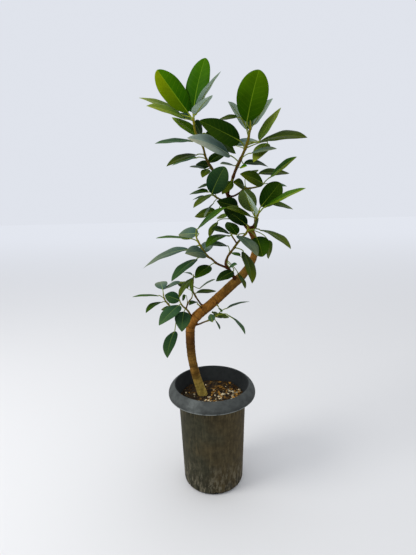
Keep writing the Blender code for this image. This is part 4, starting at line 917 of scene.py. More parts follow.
def smooth(made, degrees):
    """Shades an object smooth but for edges sharper than an angle."""
    made.data.shade_smooth()
    made.data.set_sharp_from_angle(angle=math.radians(degrees))


def joined(first, *others):
    """Several mesh objects as one, which keeps the first one's name."""
    pieces = [first, *others]
    with bpy.context.temp_override(active_object=first, object=first, selected_objects=pieces,
                                   selected_editable_objects=pieces):
        bpy.ops.object.join()
    return first


def put_in_frame(made, slot, *nodes):
    """Hides the CAD nodes that a finished piece stands for, drops its leaf_ attributes and hangs it on the
    root body; the slot, its finish, is not used.
    """
    for name in [key.name for key in made.data.attributes if key.name.startswith("leaf_")]:
        made.data.attributes.remove(made.data.attributes[name])
    if nodes:
        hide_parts(*nodes)
    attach(made, ROOT)


def blend_colours(first, second, part):
    """A colour between two."""
    return tuple(a + (b - a) * part for a, b in zip(first, second))


def seen(x, z, depth):
    """The point that shows at x, z from the front and lies at that depth."""
    on_plane = Vector((x * CM, 0.0, z * CM))
    return EYE + (on_plane - EYE) * (1.0 - depth * CM / EYE.y)


def catmull(before, start, end, after, t):
    """A point of the Catmull-Rom curve between start and end."""
    slope_in = (end - before) * 0.5
    slope_out = (after - start) * 0.5
    rise = t * t * (3.0 - 2.0 * t)
    return (start * (1.0 - rise) + end * rise
            + slope_in * (t * (1.0 - t) ** 2) - slope_out * (t * t * (1.0 - t)))


def smooth_path(rows, steps):
    """Points and radii along a smooth curve through rows of x, z, depth and radius."""
    knots = [(seen(x, z, depth), radius * 0.001) for x, z, depth, radius in rows]
    last = len(knots) - 1
    path = []
    for i in range(last):
        before, start = knots[max(i - 1, 0)], knots[i]
        end, after = knots[i + 1], knots[min(i + 2, last)]
        for k in range(steps):
            t = k / steps
            point = catmull(before[0], start[0], end[0], after[0], t)
            path.append((point, start[1] + (end[1] - start[1]) * t))
    path.append(knots[last])
    return path


def half_width(t, base_shape, tip_shape):
    """Half a blade's width at t along it, as a part of its greatest. Works on wires too."""
    widest = base_shape / (base_shape + tip_shape)
    peak = widest ** base_shape * (1.0 - widest) ** tip_shape
    return t ** base_shape * (1.0 - t) ** tip_shape / peak


def near_paths(paths, x, z):
    """The point of some paths that shows nearest to x, z from the front."""
    aim = (seen(x, z, 0.0) - EYE).normalized()
    points = [start.lerp(end, k / SEARCH_STEPS) for path in paths
              for (start, _), (end, _) in zip(path, path[1:]) for k in range(SEARCH_STEPS)]
    return min(points, key=lambda point: (point - EYE).cross(aim).length)


class Leaf:
    """Where one blade lies: its foot on the stem, base, tip, the way it faces and its size."""

    def __init__(self, row, stems):
        foot, base, tip, length, width, faces, arch, shift, self.age = row
        self.foot = near_paths(stems, *foot)
        self.length = length * CM
        self.half = max(width, length * WIDTH_RATIO) * CM / 2
        self.arch = arch * 0.01 * self.length
        self.base_shape, self.tip_shape = FORMS[faces[2]]
        shown = math.dist(base, tip)
        lean = math.sqrt(max(0.0, 1.0 - (shown / length) ** 2))
        way = -1.0 if faces[0] == "N" else 1.0
        self.base = seen(*base, self.foot.y / CM + way * lean * PETIOLE_REACH + shift)
        self.tip = self.end_point(tip, way)
        self.along = (self.tip - self.base).normalized()
        to_eye = (EYE - (self.base + self.tip) / 2).normalized()
        front = (to_eye - self.along * to_eye.dot(self.along)).normalized()
        up = front.cross(self.along)
        if up.z < 0.0:
            up = -up
        turn = math.acos(min(1.0, width * CM / (2 * self.half)))
        if faces[1] == "l":
            turn = math.pi - turn
        self.normal = (front * math.cos(turn) + up * math.sin(turn)).normalized()
        self.side = self.normal.cross(self.along)

    def end_point(self, tip, way):
        """The tip: the point that shows there and is the blade's length away from its base."""
        ray = seen(*tip, 0.0) - EYE
        back = self.base - EYE
        middle = ray.dot(back) / ray.length_squared
        spare = middle ** 2 - (back.length_squared - self.length ** 2) / ray.length_squared
        return EYE + ray * (middle + way * math.sqrt(max(0.0, spare)))

    def rib_point(self, t):
        """A point of the blade's middle line."""
        return self.base.lerp(self.tip, t) + self.normal * (4.0 * self.arch * t * (1.0 - t))


def blade_tree():
    """A tree that turns points with a leaf's sizes and directions into closed, arched, folded blades."""
    g = GeometryGraph("fig_blades", Columns="Int", Rows="Int", Thickness="Float", Groove="Float",
                      Fold="Float", Wave="Float", Upper="Material", Lower="Material")
    size = {"Size X": 2.0, "Size Y": 1.0, "Vertices X": g.input("Columns"), "Vertices Y": g.input("Rows")}
    grid = g.node("GeometryNodeMeshGrid", None, size)
    x, y, _ = g.split(g.position)
    across = x.math("SIGN") * x.math("ABSOLUTE") ** 1.5
    t = 0.5 - ((y + 0.5) * math.pi).math("COSINE") * 0.5
    grid = g.store(grid, "leaf_across", across)
    grid = g.store(grid, "leaf_t", t)
    grid = g.store(grid, "blade", g.node("ShaderNodeCombineXYZ", None, {0: across * 0.5 + 0.5, 1: t}),
                   "FLOAT2", "CORNER")
    blades = g.node("GeometryNodeInstanceOnPoints", None, {"Points": g.start, "Instance": grid})
    blades = g.node("GeometryNodeRealizeInstances", None, {"Geometry": blades})

    a = g.named("leaf_across")
    t = g.named("leaf_t")
    off = a.math("ABSOLUTE")
    outline = half_width(t, g.named("leaf_base_shape"), g.named("leaf_tip_shape"))
    wide = g.named("leaf_half") * outline
    arch = g.named("leaf_arch") * 4.0 * t * (1.0 - t)
    fold = off * off / (off + FOLD_SOFTNESS) * wide * g.input("Fold").math("SINE")
    curl = off ** 4.0 * wide * CURL
    ripple = ((t * WAVE_TURNS + g.named("leaf_phase") + a * WAVE_SKEW).math("SINE")
              * off * off * wide * g.input("Wave"))
    valley = g.input("Groove") * (1.0 - (off * wide / GROOVE_HALF).math("MINIMUM", 1.0)) * (1.0 - t)
    height = arch + fold - curl + ripple - valley
    reach = a * wide * g.input("Fold").math("COSINE")
    sickle = g.named("leaf_bend") * 4.0 * t * (1.0 - t)
    body = g.input("Thickness") * 0.5 * ((1.0 - off * off).math("MAXIMUM", 0.0) ** 0.5
                                         * (outline * 4.0).math("MINIMUM", 1.0))
    length = g.named("leaf_length") * t
    base = g.named("leaf_base", "FLOAT_VECTOR")
    spot = g.add(base, g.scale(g.named("leaf_side", "FLOAT_VECTOR"), reach + sickle))
    spot = g.add(spot, g.scale(g.named("leaf_along", "FLOAT_VECTOR"), length))
    normal = g.named("leaf_normal", "FLOAT_VECTOR")
    sheets = []
    for way in (1.0, -1.0):
        place = g.add(spot, g.scale(normal, height + body * way))
        sheets.append(g.node("GeometryNodeSetPosition", None, {"Geometry": blades, "Position": place}))
    lower = g.node("GeometryNodeFlipFaces", None, {"Mesh": sheets[1]})
    lower = g.store(lower, "leaf_under", 1.0, "FLOAT", "FACE")
    both = g.tree.nodes.new("GeometryNodeJoinGeometry")
    for sheet in (lower, sheets[0]):
        g.tree.links.new(sheet.socket, both.inputs[0])
    closed = g.node("GeometryNodeMergeByDistance", None,
                    {"Geometry": Wire(g, both.outputs[0]), "Distance": MERGE})
    under = g.node("FunctionNodeCompare", {"data_type": "FLOAT", "operation": "GREATER_THAN"},
                   {0: g.named("leaf_under"), 1: 0.5})
    g.finish(closed, ("Upper", None), ("Lower", under))
    return g.tree


def tube_tree():
    """A tree that turns edges with a girth into closed tubes with a slightly knobbly skin."""
    g = GeometryGraph("fig_tubes", Sides="Int", Bump="Float", Bump_Scale="Float", Material="Material")
    curve = g.node("GeometryNodeMeshToCurve", None, {"Mesh": g.start})
    ring = g.node("GeometryNodeCurvePrimitiveCircle", {"mode": "RADIUS"},
                  {"Resolution": g.input("Sides"), "Radius": 1.0})
    tube = g.node("GeometryNodeCurveToMesh", None, {"Curve": curve, "Profile Curve": ring,
                                                    "Scale": g.named("leaf_girth"), "Fill Caps": True})
    lumps = g.noise(g.position, g.input("Bump Scale"), detail=2.0) - 0.5
    push = g.scale(g.node("GeometryNodeInputNormal"), lumps * g.input("Bump"))
    tube = g.node("GeometryNodeSetPosition", None, {"Geometry": tube, "Offset": push})
    g.finish(tube, ("Material", None))
    return g.tree


def scatter_tree():
    """A tree that strews lumpy grains over a surface, thickest where it is marked grainy."""
    g = GeometryGraph("fig_grains", Density="Float", Smallest="Float", Largest="Float", Shape="Vector",
                      Roundness="Int", Seed="Int", Material="Material")
    density = g.input("Density") * g.named("grainy")
    points = g.node("GeometryNodeDistributePointsOnFaces", None,
                    {"Mesh": g.start, "Density": density, "Seed": g.input("Seed")})
    ball = g.node("GeometryNodeMeshIcoSphere", None, {"Radius": 1.0, "Subdivisions": g.input("Roundness")})
    lumpy = g.scale(g.position, g.noise(g.position, 1.3, detail=2.0) * 1.5 + 0.25)
    ball = g.node("GeometryNodeSetPosition", None, {"Geometry": ball, "Position": lumpy})
    size = g.node("FunctionNodeRandomValue", {"data_type": "FLOAT"},
                  {2: g.input("Smallest"), 3: g.input("Largest"), "Seed": g.input("Seed")}, out=1)
    tilt = g.node("FunctionNodeRandomValue", {"data_type": "FLOAT_VECTOR"},
                  {0: (-0.5, -0.5, 0.0), 1: (0.5, 0.5, 6.28), "Seed": g.input("Seed")})
    turn = g.node("FunctionNodeEulerToRotation", None, {0: tilt})
    scale = g.scale(g.input("Shape"), size)
    grains = g.node("GeometryNodeInstanceOnPoints", None,
                    {"Points": points, "Instance": ball, "Rotation": turn, "Scale": scale})
    g.finish(grains, ("Material", None))
    return g.tree


def set_attribute(mesh, name, kind, values):
    """A point attribute of a mesh, from one value for each point."""
    made = mesh.attributes.new(name, kind, "POINT")
    field = {"FLOAT": "value", "FLOAT_VECTOR": "vector", "FLOAT_COLOR": "color"}[kind]
    made.data.foreach_set(field, np.array(values, np.float32).ravel())


def points_mesh(name, points, edges=()):
    """A mesh of points and edges."""
    mesh = bpy.data.meshes.new(name)
    mesh.from_pydata([tuple(point) for point in points], list(edges), [])
    return mesh


def chains_mesh(name, chains):
    """Edges along chains of points with a radius and a colour, for the tube tree."""
    knots = [knot for chain in chains for knot in chain]
    edges = []
    first = 0
    for chain in chains:
        edges += [(i, i + 1) for i in range(first, first + len(chain) - 1)]
        first += len(chain)
    mesh = points_mesh(name, [point for point, _, _ in knots], edges)
    set_attribute(mesh, "leaf_girth", "FLOAT", [radius for _, radius, _ in knots])
    set_attribute(mesh, "tint", "FLOAT_COLOR", [(*colour, 1.0) for _, _, colour in knots])
    return mesh


def blades_mesh(leaves, settings, draw):
    """Points with each leaf's sizes, directions and colour, for the blade tree."""
    mesh = points_mesh("blades", [(0.0, 0.0, 0.0)] * len(leaves))
    for name in ("base", "side", "along", "normal"):
        set_attribute(mesh, "leaf_" + name, "FLOAT_VECTOR", [getattr(leaf, name) for leaf in leaves])
    for name in ("length", "half", "arch", "base_shape", "tip_shape"):
        set_attribute(mesh, "leaf_" + name, "FLOAT", [getattr(leaf, name) for leaf in leaves])
    # Which leaves hold a painted sheen on their upper side.
    set_attribute(mesh, "sheen", "FLOAT", [float(leaf.age in PAINTED_SHEEN_WORDS) for leaf in leaves])
    # Painted light and shade on each blade's halves, by how far its side faces up.
    set_attribute(mesh, "halves", "FLOAT", [-leaf.side.z * PAINTED_HALF_LIGHT[leaf.age in NEW] for leaf in leaves])
    set_attribute(mesh, "leaf_bend", "FLOAT", [draw.uniform(-BEND, BEND) * leaf.length for leaf in leaves])
    set_attribute(mesh, "leaf_phase", "FLOAT", [draw.uniform(0.0, 6.28) for _ in leaves])
    tints = []
    for leaf in leaves:
        lighter = draw.uniform(*SHADES)
        tints.append([part * lighter for part in getattr(settings, leaf.age)] + [1.0])
    set_attribute(mesh, "tint", "FLOAT_COLOR", tints)
    return mesh


def petiole_chain(leaf, settings):
    """A leaf's stalk from inside the stem to the blade, and on as its midrib."""
    start = leaf.foot
    reach = (leaf.base - start).length
    upward = (leaf.base - start).normalized().lerp(Vector((0.0, 0.0, 1.0)), PETIOLE_RISE)
    leave = start + upward * (reach * PETIOLE_BOW)
    arrive = leaf.base - leaf.along * (reach * PETIOLE_BOW)
    radius = max(PETIOLE_R * math.sqrt(leaf.length / USUAL_LENGTH), PETIOLE_LEAST)
    rib = tuple(settings.rib)
    stalk = blend_colours(rib, tuple(getattr(settings, leaf.age)), PETIOLE_TINT)
    chain = []
    for k in range(PETIOLE_POINTS):
        t = k / PETIOLE_POINTS
        point = (start * (1 - t) ** 3 + leave * (3 * t * (1 - t) ** 2) + arrive * (3 * t * t * (1 - t))
                 + leaf.base * t ** 3)
        swell = 1.0 + PETIOLE_FOOT * (1.0 - t) ** 6 + PETIOLE_HEAD * t ** 5
        chain.append((point, radius * swell, stalk))
    for k in range(RIB_POINTS + 1):
        t = RIB_END * k / RIB_POINTS
        thin = radius * (1.15 - 1.05 * t)
        chain.append((leaf.rib_point(t) - leaf.normal * (RIB_SINK * thin + RIB_DEPTH), thin, rib))
    return chain


def stem_chain(path, feet, twig, green):
    """A stem's points with a swelling at each petiole's foot, woody at its start and green at its end."""
    total = sum((end - start).length for (start, _), (end, _) in zip(path, path[1:]))
    chain = []
    gone = 0.0
    for k, (point, radius) in enumerate(path):
        if k:
            gone += (point - path[k - 1][0]).length
        swell = max([0.0] + [1.0 - (point - foot).length / KNEE_REACH for foot in feet])
        hidden = HIDDEN_START if k < 2 else 1.0
        colour = blend_colours(twig, green, (gone / total) ** GREENING)
        chain.append((point, radius * (1.0 + KNEE_SWELL * swell) * hidden, colour))
    return chain


def stub_chain(path, wood, colour):
    """The woody foot of a shoot: its first stretch, until it is clear of the wood that carries it."""
    chain = []
    for point, radius in path:
        free = min((point - knot).length - thick for knot, thick in wood)
        taper = STUB_TAPER * min(1.0, max(0.0, free) / STUB_CLEAR)
        chain.append((point, radius * (STUB_WIDE - taper), colour))
        if free > STUB_CLEAR:
            break
    return chain


def leaf_finish(name, settings, under):
    """The finish of the leaves' upper or lower side, with their midrib and side veins; the upper side has
    painted light and shade on its halves, painted shade towards its base and a silver blade's painted
    sheen.
    """
    f = Finish(name, Roughness=0.62 if under else 0.34, Specular_IOR_Level=0.01)
    u, t, _ = f.split(f.node("ShaderNodeUVMap", {"uv_map": "blade"}))
    t = t.math("MINIMUM", 0.999).math("MAXIMUM", 0.001)
    off = (u - 0.5).math("ABSOLUTE") * 2.0
    reach = off * half_width(t, *FORMS["e"])
    rib_w = (1.0 - t * 0.75) * (0.075 if under else 0.055)
    rib = 1.0 - (reach / rib_w).step(0.55, 1.0)
    stagger = (u - 0.5).math("SIGN") * 0.2
    comb = ((t - reach * VEIN_SLANT) * VEINS + stagger).math("FRACT") - 0.5
    vein = (1.0 - (comb.math("ABSOLUTE") * 2.0).step(0.0, 0.20)) * (1.0 - off.step(0.82, 0.96))
    vein = vein * (1.0 - t.step(0.86, 0.97)) * (1.0 - rib)
    cloud = f.noise(f.place, 38.0)
    grain = f.noise(f.place, 900.0, detail=2.0)
    tint = f.attribute("tint")
    pale = f.mix(0.5, tuple(settings.rib), f.scale(tint, 3.0))
    if under:
        ground = f.mix(0.25, f.scale(tint, 1.8), tuple(settings.under))
        ground = f.scale(ground, cloud * 0.5 + 0.75)
        ground = f.mix(vein * 0.25, ground, pale)
        f.feed("Roughness", grain * 0.2 + 0.52)
        f.bump(vein * 0.7 + grain * 0.25 + rib, 0.0003)
    else:
        # The painted sheen on a silver blade's upper side fades into painted shade, the deep colour,
        # towards its base.
        tint = f.mix(f.attribute("sheen", "Fac") * t.step(0.45, 0.10) * 0.6, tint, tuple(settings.deep))
        # Painted light and shade: one half of an upper side is painted lighter and redder, the other
        # darker, and the whole is painted darker towards its base.
        lit = (u - 0.5).math("SIGN") * f.attribute("halves", "Fac")
        red = (lit * 1.6 + 1.0) * (t * 0.8 + 0.6)
        green = (lit * 0.75 + 1.0) * (t * 0.3 + 0.85)
        painted_light_tint = f.node("ShaderNodeCombineXYZ", None, {0: red, 1: green, 2: 1.0})
        ground = f.node("ShaderNodeVectorMath", {"operation": "MULTIPLY"}, {0: tint, 1: painted_light_tint})
        # Random cloudy tone, and painted shade that darkens the blade towards its base.
        ground = f.scale(ground, (cloud * 0.55 + 0.72) * (t * 0.40 + 0.80))
        ground = f.mix(vein * 0.10, ground, pale)
        ground = f.mix(off.step(0.94, 1.0) * 0.12, ground, pale)
        f.feed("Roughness", grain * 0.12 + cloud * 0.12 + 0.24)
        f.bump(comb * comb * 0.4 - vein * 0.15 + grain * 0.15, 0.0002)
    f.feed("Base Color", f.mix(rib * (1.0 - t * 0.6) * 0.8, ground, pale))
    return f.material


def stem_finish():
    """The finish of green stems, petioles and ribs, tinted along them."""
    f = Finish("fig_green_stem", Roughness=0.45, Specular_IOR_Level=0.1)
    cloud = f.noise(f.place, 160.0)
    grain = f.noise(f.stretched(f.place, (1.0, 1.0, 0.35)), 1400.0, detail=2.0)
    f.feed("Base Color", f.scale(f.attribute("tint"), cloud * 0.7 + 0.65))
    f.bump(grain, 0.00015)
    return f.material


def bark_finish():
    """The finish of bark: ring scars, fine cracks along it and pale raised pores."""
    f = Finish("fig_bark", Roughness=0.74, Specular_IOR_Level=0.05)
    scar = f.attribute("scar", "Fac")
    cloud = f.noise(f.place, 45.0, detail=4.0)
    patch = f.noise(f.stretched(f.place, (1.0, 1.0, 0.6)), 95.0, rough=0.6)
    crack = f.noise(f.stretched(f.place, (1.0, 1.0, 0.22)), 520.0, detail=4.0, rough=0.65)
    fine = f.noise(f.place, 1500.0)
    spots = f.node("ShaderNodeTexVoronoi", None,
                   {"Vector": f.stretched(f.place, (1.0, 1.0, 1.7)), "Scale": 210.0, "Randomness": 1.0})
    pore = (1.0 - spots.step(0.10, 0.26)) * f.noise(f.place, 90.0).step(0.45, 0.62)
    tint = f.attribute("tint")
    ground = f.scale(tint, cloud.step(0.36, 0.64) * 0.70 + 0.65)
    ground = f.mix(patch.step(0.55, 0.66) * 0.60, ground, f.scale(tint, 0.40))
    ground = f.mix(crack.step(0.56, 0.44) * 0.50, ground, f.scale(tint, 0.42))
    ground = f.mix(scar * 0.75, ground, f.scale(tint, 0.30))
    ground = f.mix(pore * 0.60, ground, f.scale(tint, 1.9))
    f.feed("Base Color", ground)
    f.feed("Roughness", fine * 0.25 + 0.60)
    f.bump(crack * 0.6 + fine * 0.25 + pore * 0.5 - scar * 0.3, 0.0005)
    return f.material


def pot_finish(settings):
    """The finish of the pot: dark moulded plastic, bleached collar, dried soil, scuffs, painted shade
    inside and above the collar's lower edge, and a painted highlight along that edge.
    """
    f = Finish("fig_pot_plastic", Roughness=0.6, Specular_IOR_Level=0.06)
    x, y, z = f.split(f.place)
    out = (x * x + y * y) ** 0.5
    cloud = f.noise(f.place, 16.0)
    blotch = f.noise(f.place, 75.0, detail=4.0, rough=0.65)
    streak = f.noise(f.stretched(f.place, (1.0, 1.0, 0.12)), 230.0, detail=4.0, rough=0.60)
    broken = f.noise(f.stretched(f.place, (1.0, 1.0, 0.35)), 130.0, detail=4.0, rough=0.7)
    fine = f.noise(f.place, 1300.0)
    collar = z.step(SKIRT_Z - 0.003, SKIRT_Z - 0.001)
    taper = (z.math("MINIMUM", NECK_Z) - FOOT_Z) * ((NECK_R - FOOT_R) / (NECK_Z - FOOT_Z))
    flare = (z - NECK_Z).math("MAXIMUM", 0.0) * ((MOUTH_R + WALL - NECK_R) / (MOUTH_Z - NECK_Z))
    inside = (out - taper - flare).step(FOOT_R - WALL * 0.3, FOOT_R - WALL * 0.7)
    body, dust, scuff = tuple(settings.body), tuple(settings.dust), tuple(settings.scuff)
    wall = f.mix((x * 5.0 + cloud).step(0.25, 0.75), body, f.scale(dust, 0.55))
    wall = f.scale(wall, streak.step(0.35, 0.65) * 0.26 + 0.85)
    wall = f.scale(wall, blotch.step(0.35, 0.65) * 0.45 + 0.80)
    wall = f.mix(streak.step(0.50, 0.66) * broken.step(0.46, 0.62) * 0.34, wall, dust)
    wall = f.mix(streak.step(0.48, 0.60) * z.step(0.195, 0.222) * 0.55, wall, dust)
    low = z.step(0.100, 0.035) * 0.7 + z.step(0.045, 0.010) * 0.3
    wall = f.mix(low * broken.step(0.47, 0.60) * 0.80, wall, scuff)
    # Darker streaks towards the foot.
    foot_streaks = z.step(0.055, 0.012) * streak.step(0.49, 0.41) * 0.80
    wall = f.mix(foot_streaks, wall, f.scale(body, 0.30))
    plastic = tuple(settings.collar)
    rim = f.scale(plastic, blotch.step(0.30, 0.70) * 0.45 + 0.85)
    # A band of painted shade just above the collar's lower edge.
    rim = f.scale(rim, 1.0 - z.step(SKIRT_Z + 0.0120, SKIRT_Z + 0.0045) * 0.20)
    # A paler patch on the collar's top at the front left.
    pale_patch = f.node("ShaderNodeVectorMath", {"operation": "DISTANCE"}, {0: f.place, 1: PALE_PATCH}, out="Value")
    pale_patch = (pale_patch + cloud * 0.03).step(0.042, 0.018) * (blotch.step(0.35, 0.60) * 0.6 + 0.4)
    # A painted highlight along the collar's lower edge.
    edge = z.step(SKIRT_Z + 0.0034, SKIRT_Z + 0.0014) * blotch.step(0.34, 0.50)
    rim = f.mix(pale_patch, rim, f.scale(plastic, 2.1))
    rim = f.mix(edge, rim, f.scale(plastic, 3.4))
    colour = f.mix(collar, wall, rim)
    # Painted shade: the pot's inner wall is painted darker than its plastic outside.
    painted_inner_shade = f.scale(tuple(settings.inside), blotch * 0.9 + 0.55)
    f.feed("Base Color", f.mix(inside, colour, painted_inner_shade))
    f.feed("Roughness", blotch * 0.25 + fine * 0.12 + 0.45)
    f.bump(streak * 0.5 + fine * 0.3 + blotch * 0.3, 0.0003)
    return f.material


def soil_finish(settings):
    """The finish of the potting mix between its grains."""
    f = Finish("fig_soil", Roughness=0.95, Specular_IOR_Level=0.15)
    cloud = f.noise(f.place, 120.0, detail=5.0, rough=0.7)
    fine = f.noise(f.place, 700.0, detail=4.0, rough=0.7)
    colour = f.mix(cloud.step(0.45, 0.70), tuple(settings.earth), f.scale(tuple(settings.chip), 0.22))
    f.feed("Base Color", f.scale(colour, fine * 1.1 + 0.4))
    f.bump(cloud + fine * 0.6, 0.0015)
    return f.material


def grain_finish(name, colour, darkest, rough):
    """The finish of loose grains, some darker than others."""
    f = Finish(name, Roughness=rough, Specular_IOR_Level=0.2)
    each = f.noise(f.place, 95.0, detail=1.0)
    fine = f.noise(f.place, 1100.0, rough=0.65)
    tone = f.scale(colour, each.step(0.32, 0.66) * (1.0 - darkest) + darkest)
    f.feed("Base Color", f.scale(tone, fine * 0.8 + 0.6))
    f.bump(fine, 0.0006)
    return f.material


def wall_radius(z):
    """The radius of the pot's inside at a height."""
    foot, neck = FOOT_R - WALL, NECK_R - WALL
    if z <= NECK_Z:
        return foot + (neck - foot) * (z - FOOT_Z) / (NECK_Z - FOOT_Z)
    return neck + (MOUTH_R - neck) * (z - NECK_Z) / (MOUTH_Z - NECK_Z)


def rounded(points, steps):
    """Points along the smooth curve through an outline's points."""
    knots = [Vector((*point, 0.0)) for point in points]
    last = len(knots) - 1
    curve = [catmull(knots[max(i - 1, 0)], knots[i], knots[i + 1], knots[min(i + 2, last)], k / steps)
             for i in range(last) for k in range(steps)]
    return [(point.x, point.y) for point in curve + [knots[last]]]


def turned(name, outline, steps):
    """A turned mesh object from an outline that runs down its outer side."""
    shape = bmesh.new()
    verts = [shape.verts.new((r, 0.0, z)) for r, z in outline]
    for start, end in zip(verts, verts[1:]):
        shape.edges.new((start, end))
    made = linked(name, mesh_from(name, shape))
    screw = made.modifiers.new("turn", "SCREW")
    screw.steps = steps
    screw.render_steps = steps
    screw.use_merge_vertices = True
    screw.merge_threshold = 0.00001
    return plain(made)


def soil_height(x, y):
    """The height of the soil's uneven top."""
    place = Vector((x, y, 0.0))
    height = SOIL_Z
    for rise, fineness in SOIL_LUMPS:
        height += rise * noise.noise(place * fineness)
    return height


class FIG_OT_pot(bpy.types.Operator):
    """Builds the nursery pot"""
    bl_idname = "fig.pot"
    bl_label = "Pot"

    def execute(self, context):
        settings = context.scene.fig_pot
        corner_r = wall_radius(FOOT_Z)
        corner = rounded([(corner_r - FOOT_ROUND / 2, FLOOR_T), (corner_r - FOOT_ROUND / 8, FLOOR_T * 1.4),
                          (corner_r, FLOOR_T + FOOT_ROUND / 2)], 3)
        inside = [(wall_radius(z), z) for z in INNER_EDGES]
        collar = rounded([(wall_radius(MOUTH_Z), MOUTH_Z), *COLLAR], 4)
        outside = [(NECK_R, NECK_Z), (0.5 * (NECK_R + FOOT_R), OUTER_EDGE)]
        foot = rounded([(FOOT_R, FOOT_Z), (FOOT_R - FOOT_ROUND * 0.3, FOOT_ROUND * 0.6),
                        (FOOT_R - FOOT_ROUND, 0.0)], 4)
        outline = [(0.0, FLOOR_T), *corner, *inside, *collar, *outside, *foot, (0.0, 0.0)]
        pot = turned("nursery_pot", outline, settings.steps)
        self.cut_drains(pot)
        pot.data.materials.clear()
        pot.data.materials.append(pot_finish(settings))
        smooth(pot, 40.0)
        put_in_frame(pot, "pot_plastic", "pot")
        return {"FINISHED"}

    def cut_drains(self, pot):
        """Cuts the drain slots through the pot's foot."""
        cutters = bpy.data.collections.new("drain_cutters")
        for i in range(DRAINS):
            around = 2.0 * math.pi * (i + 0.5) / DRAINS + math.radians(DRAIN_TURN)
            shape = bmesh.new()
            bmesh.ops.create_cone(shape, cap_ends=True, segments=32, radius1=DRAIN_R, radius2=DRAIN_R,
                                  depth=DRAIN_DEPTH)
            outward = Matrix.Translation((FOOT_R - FOOT_ROUND / 2, 0.0, DRAIN_Z))
            place = Matrix.Rotation(around, 4, "Z") @ outward @ Matrix.Rotation(math.pi / 2, 4, "Y")
            bmesh.ops.transform(shape, matrix=place, verts=shape.verts)
            cutters.objects.link(bpy.data.objects.new(f"drain_{i}", mesh_from("drain", shape)))
        cut = pot.modifiers.new("drains", "BOOLEAN")
        cut.operation = "DIFFERENCE"
        cut.operand_type = "COLLECTION"
        cut.collection = cutters
        plain(pot)
        for cutter in list(cutters.objects):
            bpy.data.objects.remove(cutter)
        bpy.data.collections.remove(cutters)


class FIG_OT_soil(bpy.types.Operator):
    """Builds the potting mix and strews its grains"""
    bl_idname = "fig.soil"
    bl_label = "Soil"

    def execute(self, context):
        settings = context.scene.fig_soil
        top_r = wall_radius(SOIL_Z - SOIL_EDGE) - GAP
        corner_r = wall_radius(FOOT_Z) - GAP
        rings = [(top_r * (k / SOIL_RINGS), SOIL_Z) for k in range(SOIL_RINGS)]
        sides = [(top_r, SOIL_Z - SOIL_EDGE), (wall_radius(NECK_Z) - GAP, NECK_Z),
                 (corner_r, FLOOR_T + FOOT_ROUND / 2 + GAP), (corner_r - FOOT_ROUND / 2, FLOOR_T + GAP),
                 (0.0, FLOOR_T + GAP)]
        soil = turned("potting_mix", rings + sides, SOIL_SIDES)
        for vert in soil.data.vertices:
            if vert.co.z > SOIL_Z - SOIL_EDGE / 2:
                vert.co.z = soil_height(vert.co.x, vert.co.y)
        soil.data.materials.append(soil_finish(settings))
        smooth(soil, 50.0)
        put_in_frame(soil, "soil_mix", "soil")
        tree = scatter_tree()
        for seed, (name, word, number, form, fine, darkest, rough, heap) in enumerate(GRAINS, FIRST_SEED):
            size = getattr(settings, word + "_size")
            finish = grain_finish("fig_" + name, tuple(getattr(settings, word)), darkest, rough)
            grains = grow(name, self.top_mesh(top_r, heap), tree, Density=number, Smallest=size * SMALLEST,
                          Largest=size, Shape=form, Roundness=fine, Seed=seed, Material=finish)
            grains.data.shade_smooth()
            put_in_frame(grains, "soil_mix")
        return {"FINISHED"}

    def top_mesh(self, top_r, heap):
        """The soil's top as an open disc, marked where a kind of grain lies."""
        shape = bmesh.new()
        bmesh.ops.create_grid(shape, x_segments=DISC_FACES, y_segments=DISC_FACES, size=top_r)
        foot = min(smooth_path(TRUNK, 4), key=lambda knot: abs(knot[0].z - SOIL_Z))[0]
        marks = []
        for vert in shape.verts:
            x, y = vert.co.x, vert.co.y
            vert.co.z = soil_height(x, y) - DISC_SINK
            off_wall = math.hypot(x, y) < top_r - WALL_CLEAR
            clear = off_wall and math.hypot(x - foot.x, y - foot.y) > TRUNK_CLEAR
            # Crumbs, which don't heap, lie everywhere, and coarser grains mostly at the front right.
            right = min(1.0, max(0.0, (x - y * 0.9 + 0.030) / 0.06))
            richer = 0.20 + 0.80 * right if heap else 1.0
            patch = 0.5 + noise.noise(Vector((x, y, 3.0)) * 40.0)
            heaped = heap * max(0.0, 1.0 - math.hypot(x - HEAP[0], y - HEAP[1]) / HEAP_R)
            marks.append(max(0.0, richer * (0.5 + patch) + heaped) if clear else 0.0)
        mesh = mesh_from("soil_top", shape)
        set_attribute(mesh, "grainy", "FLOAT", marks)
        return mesh


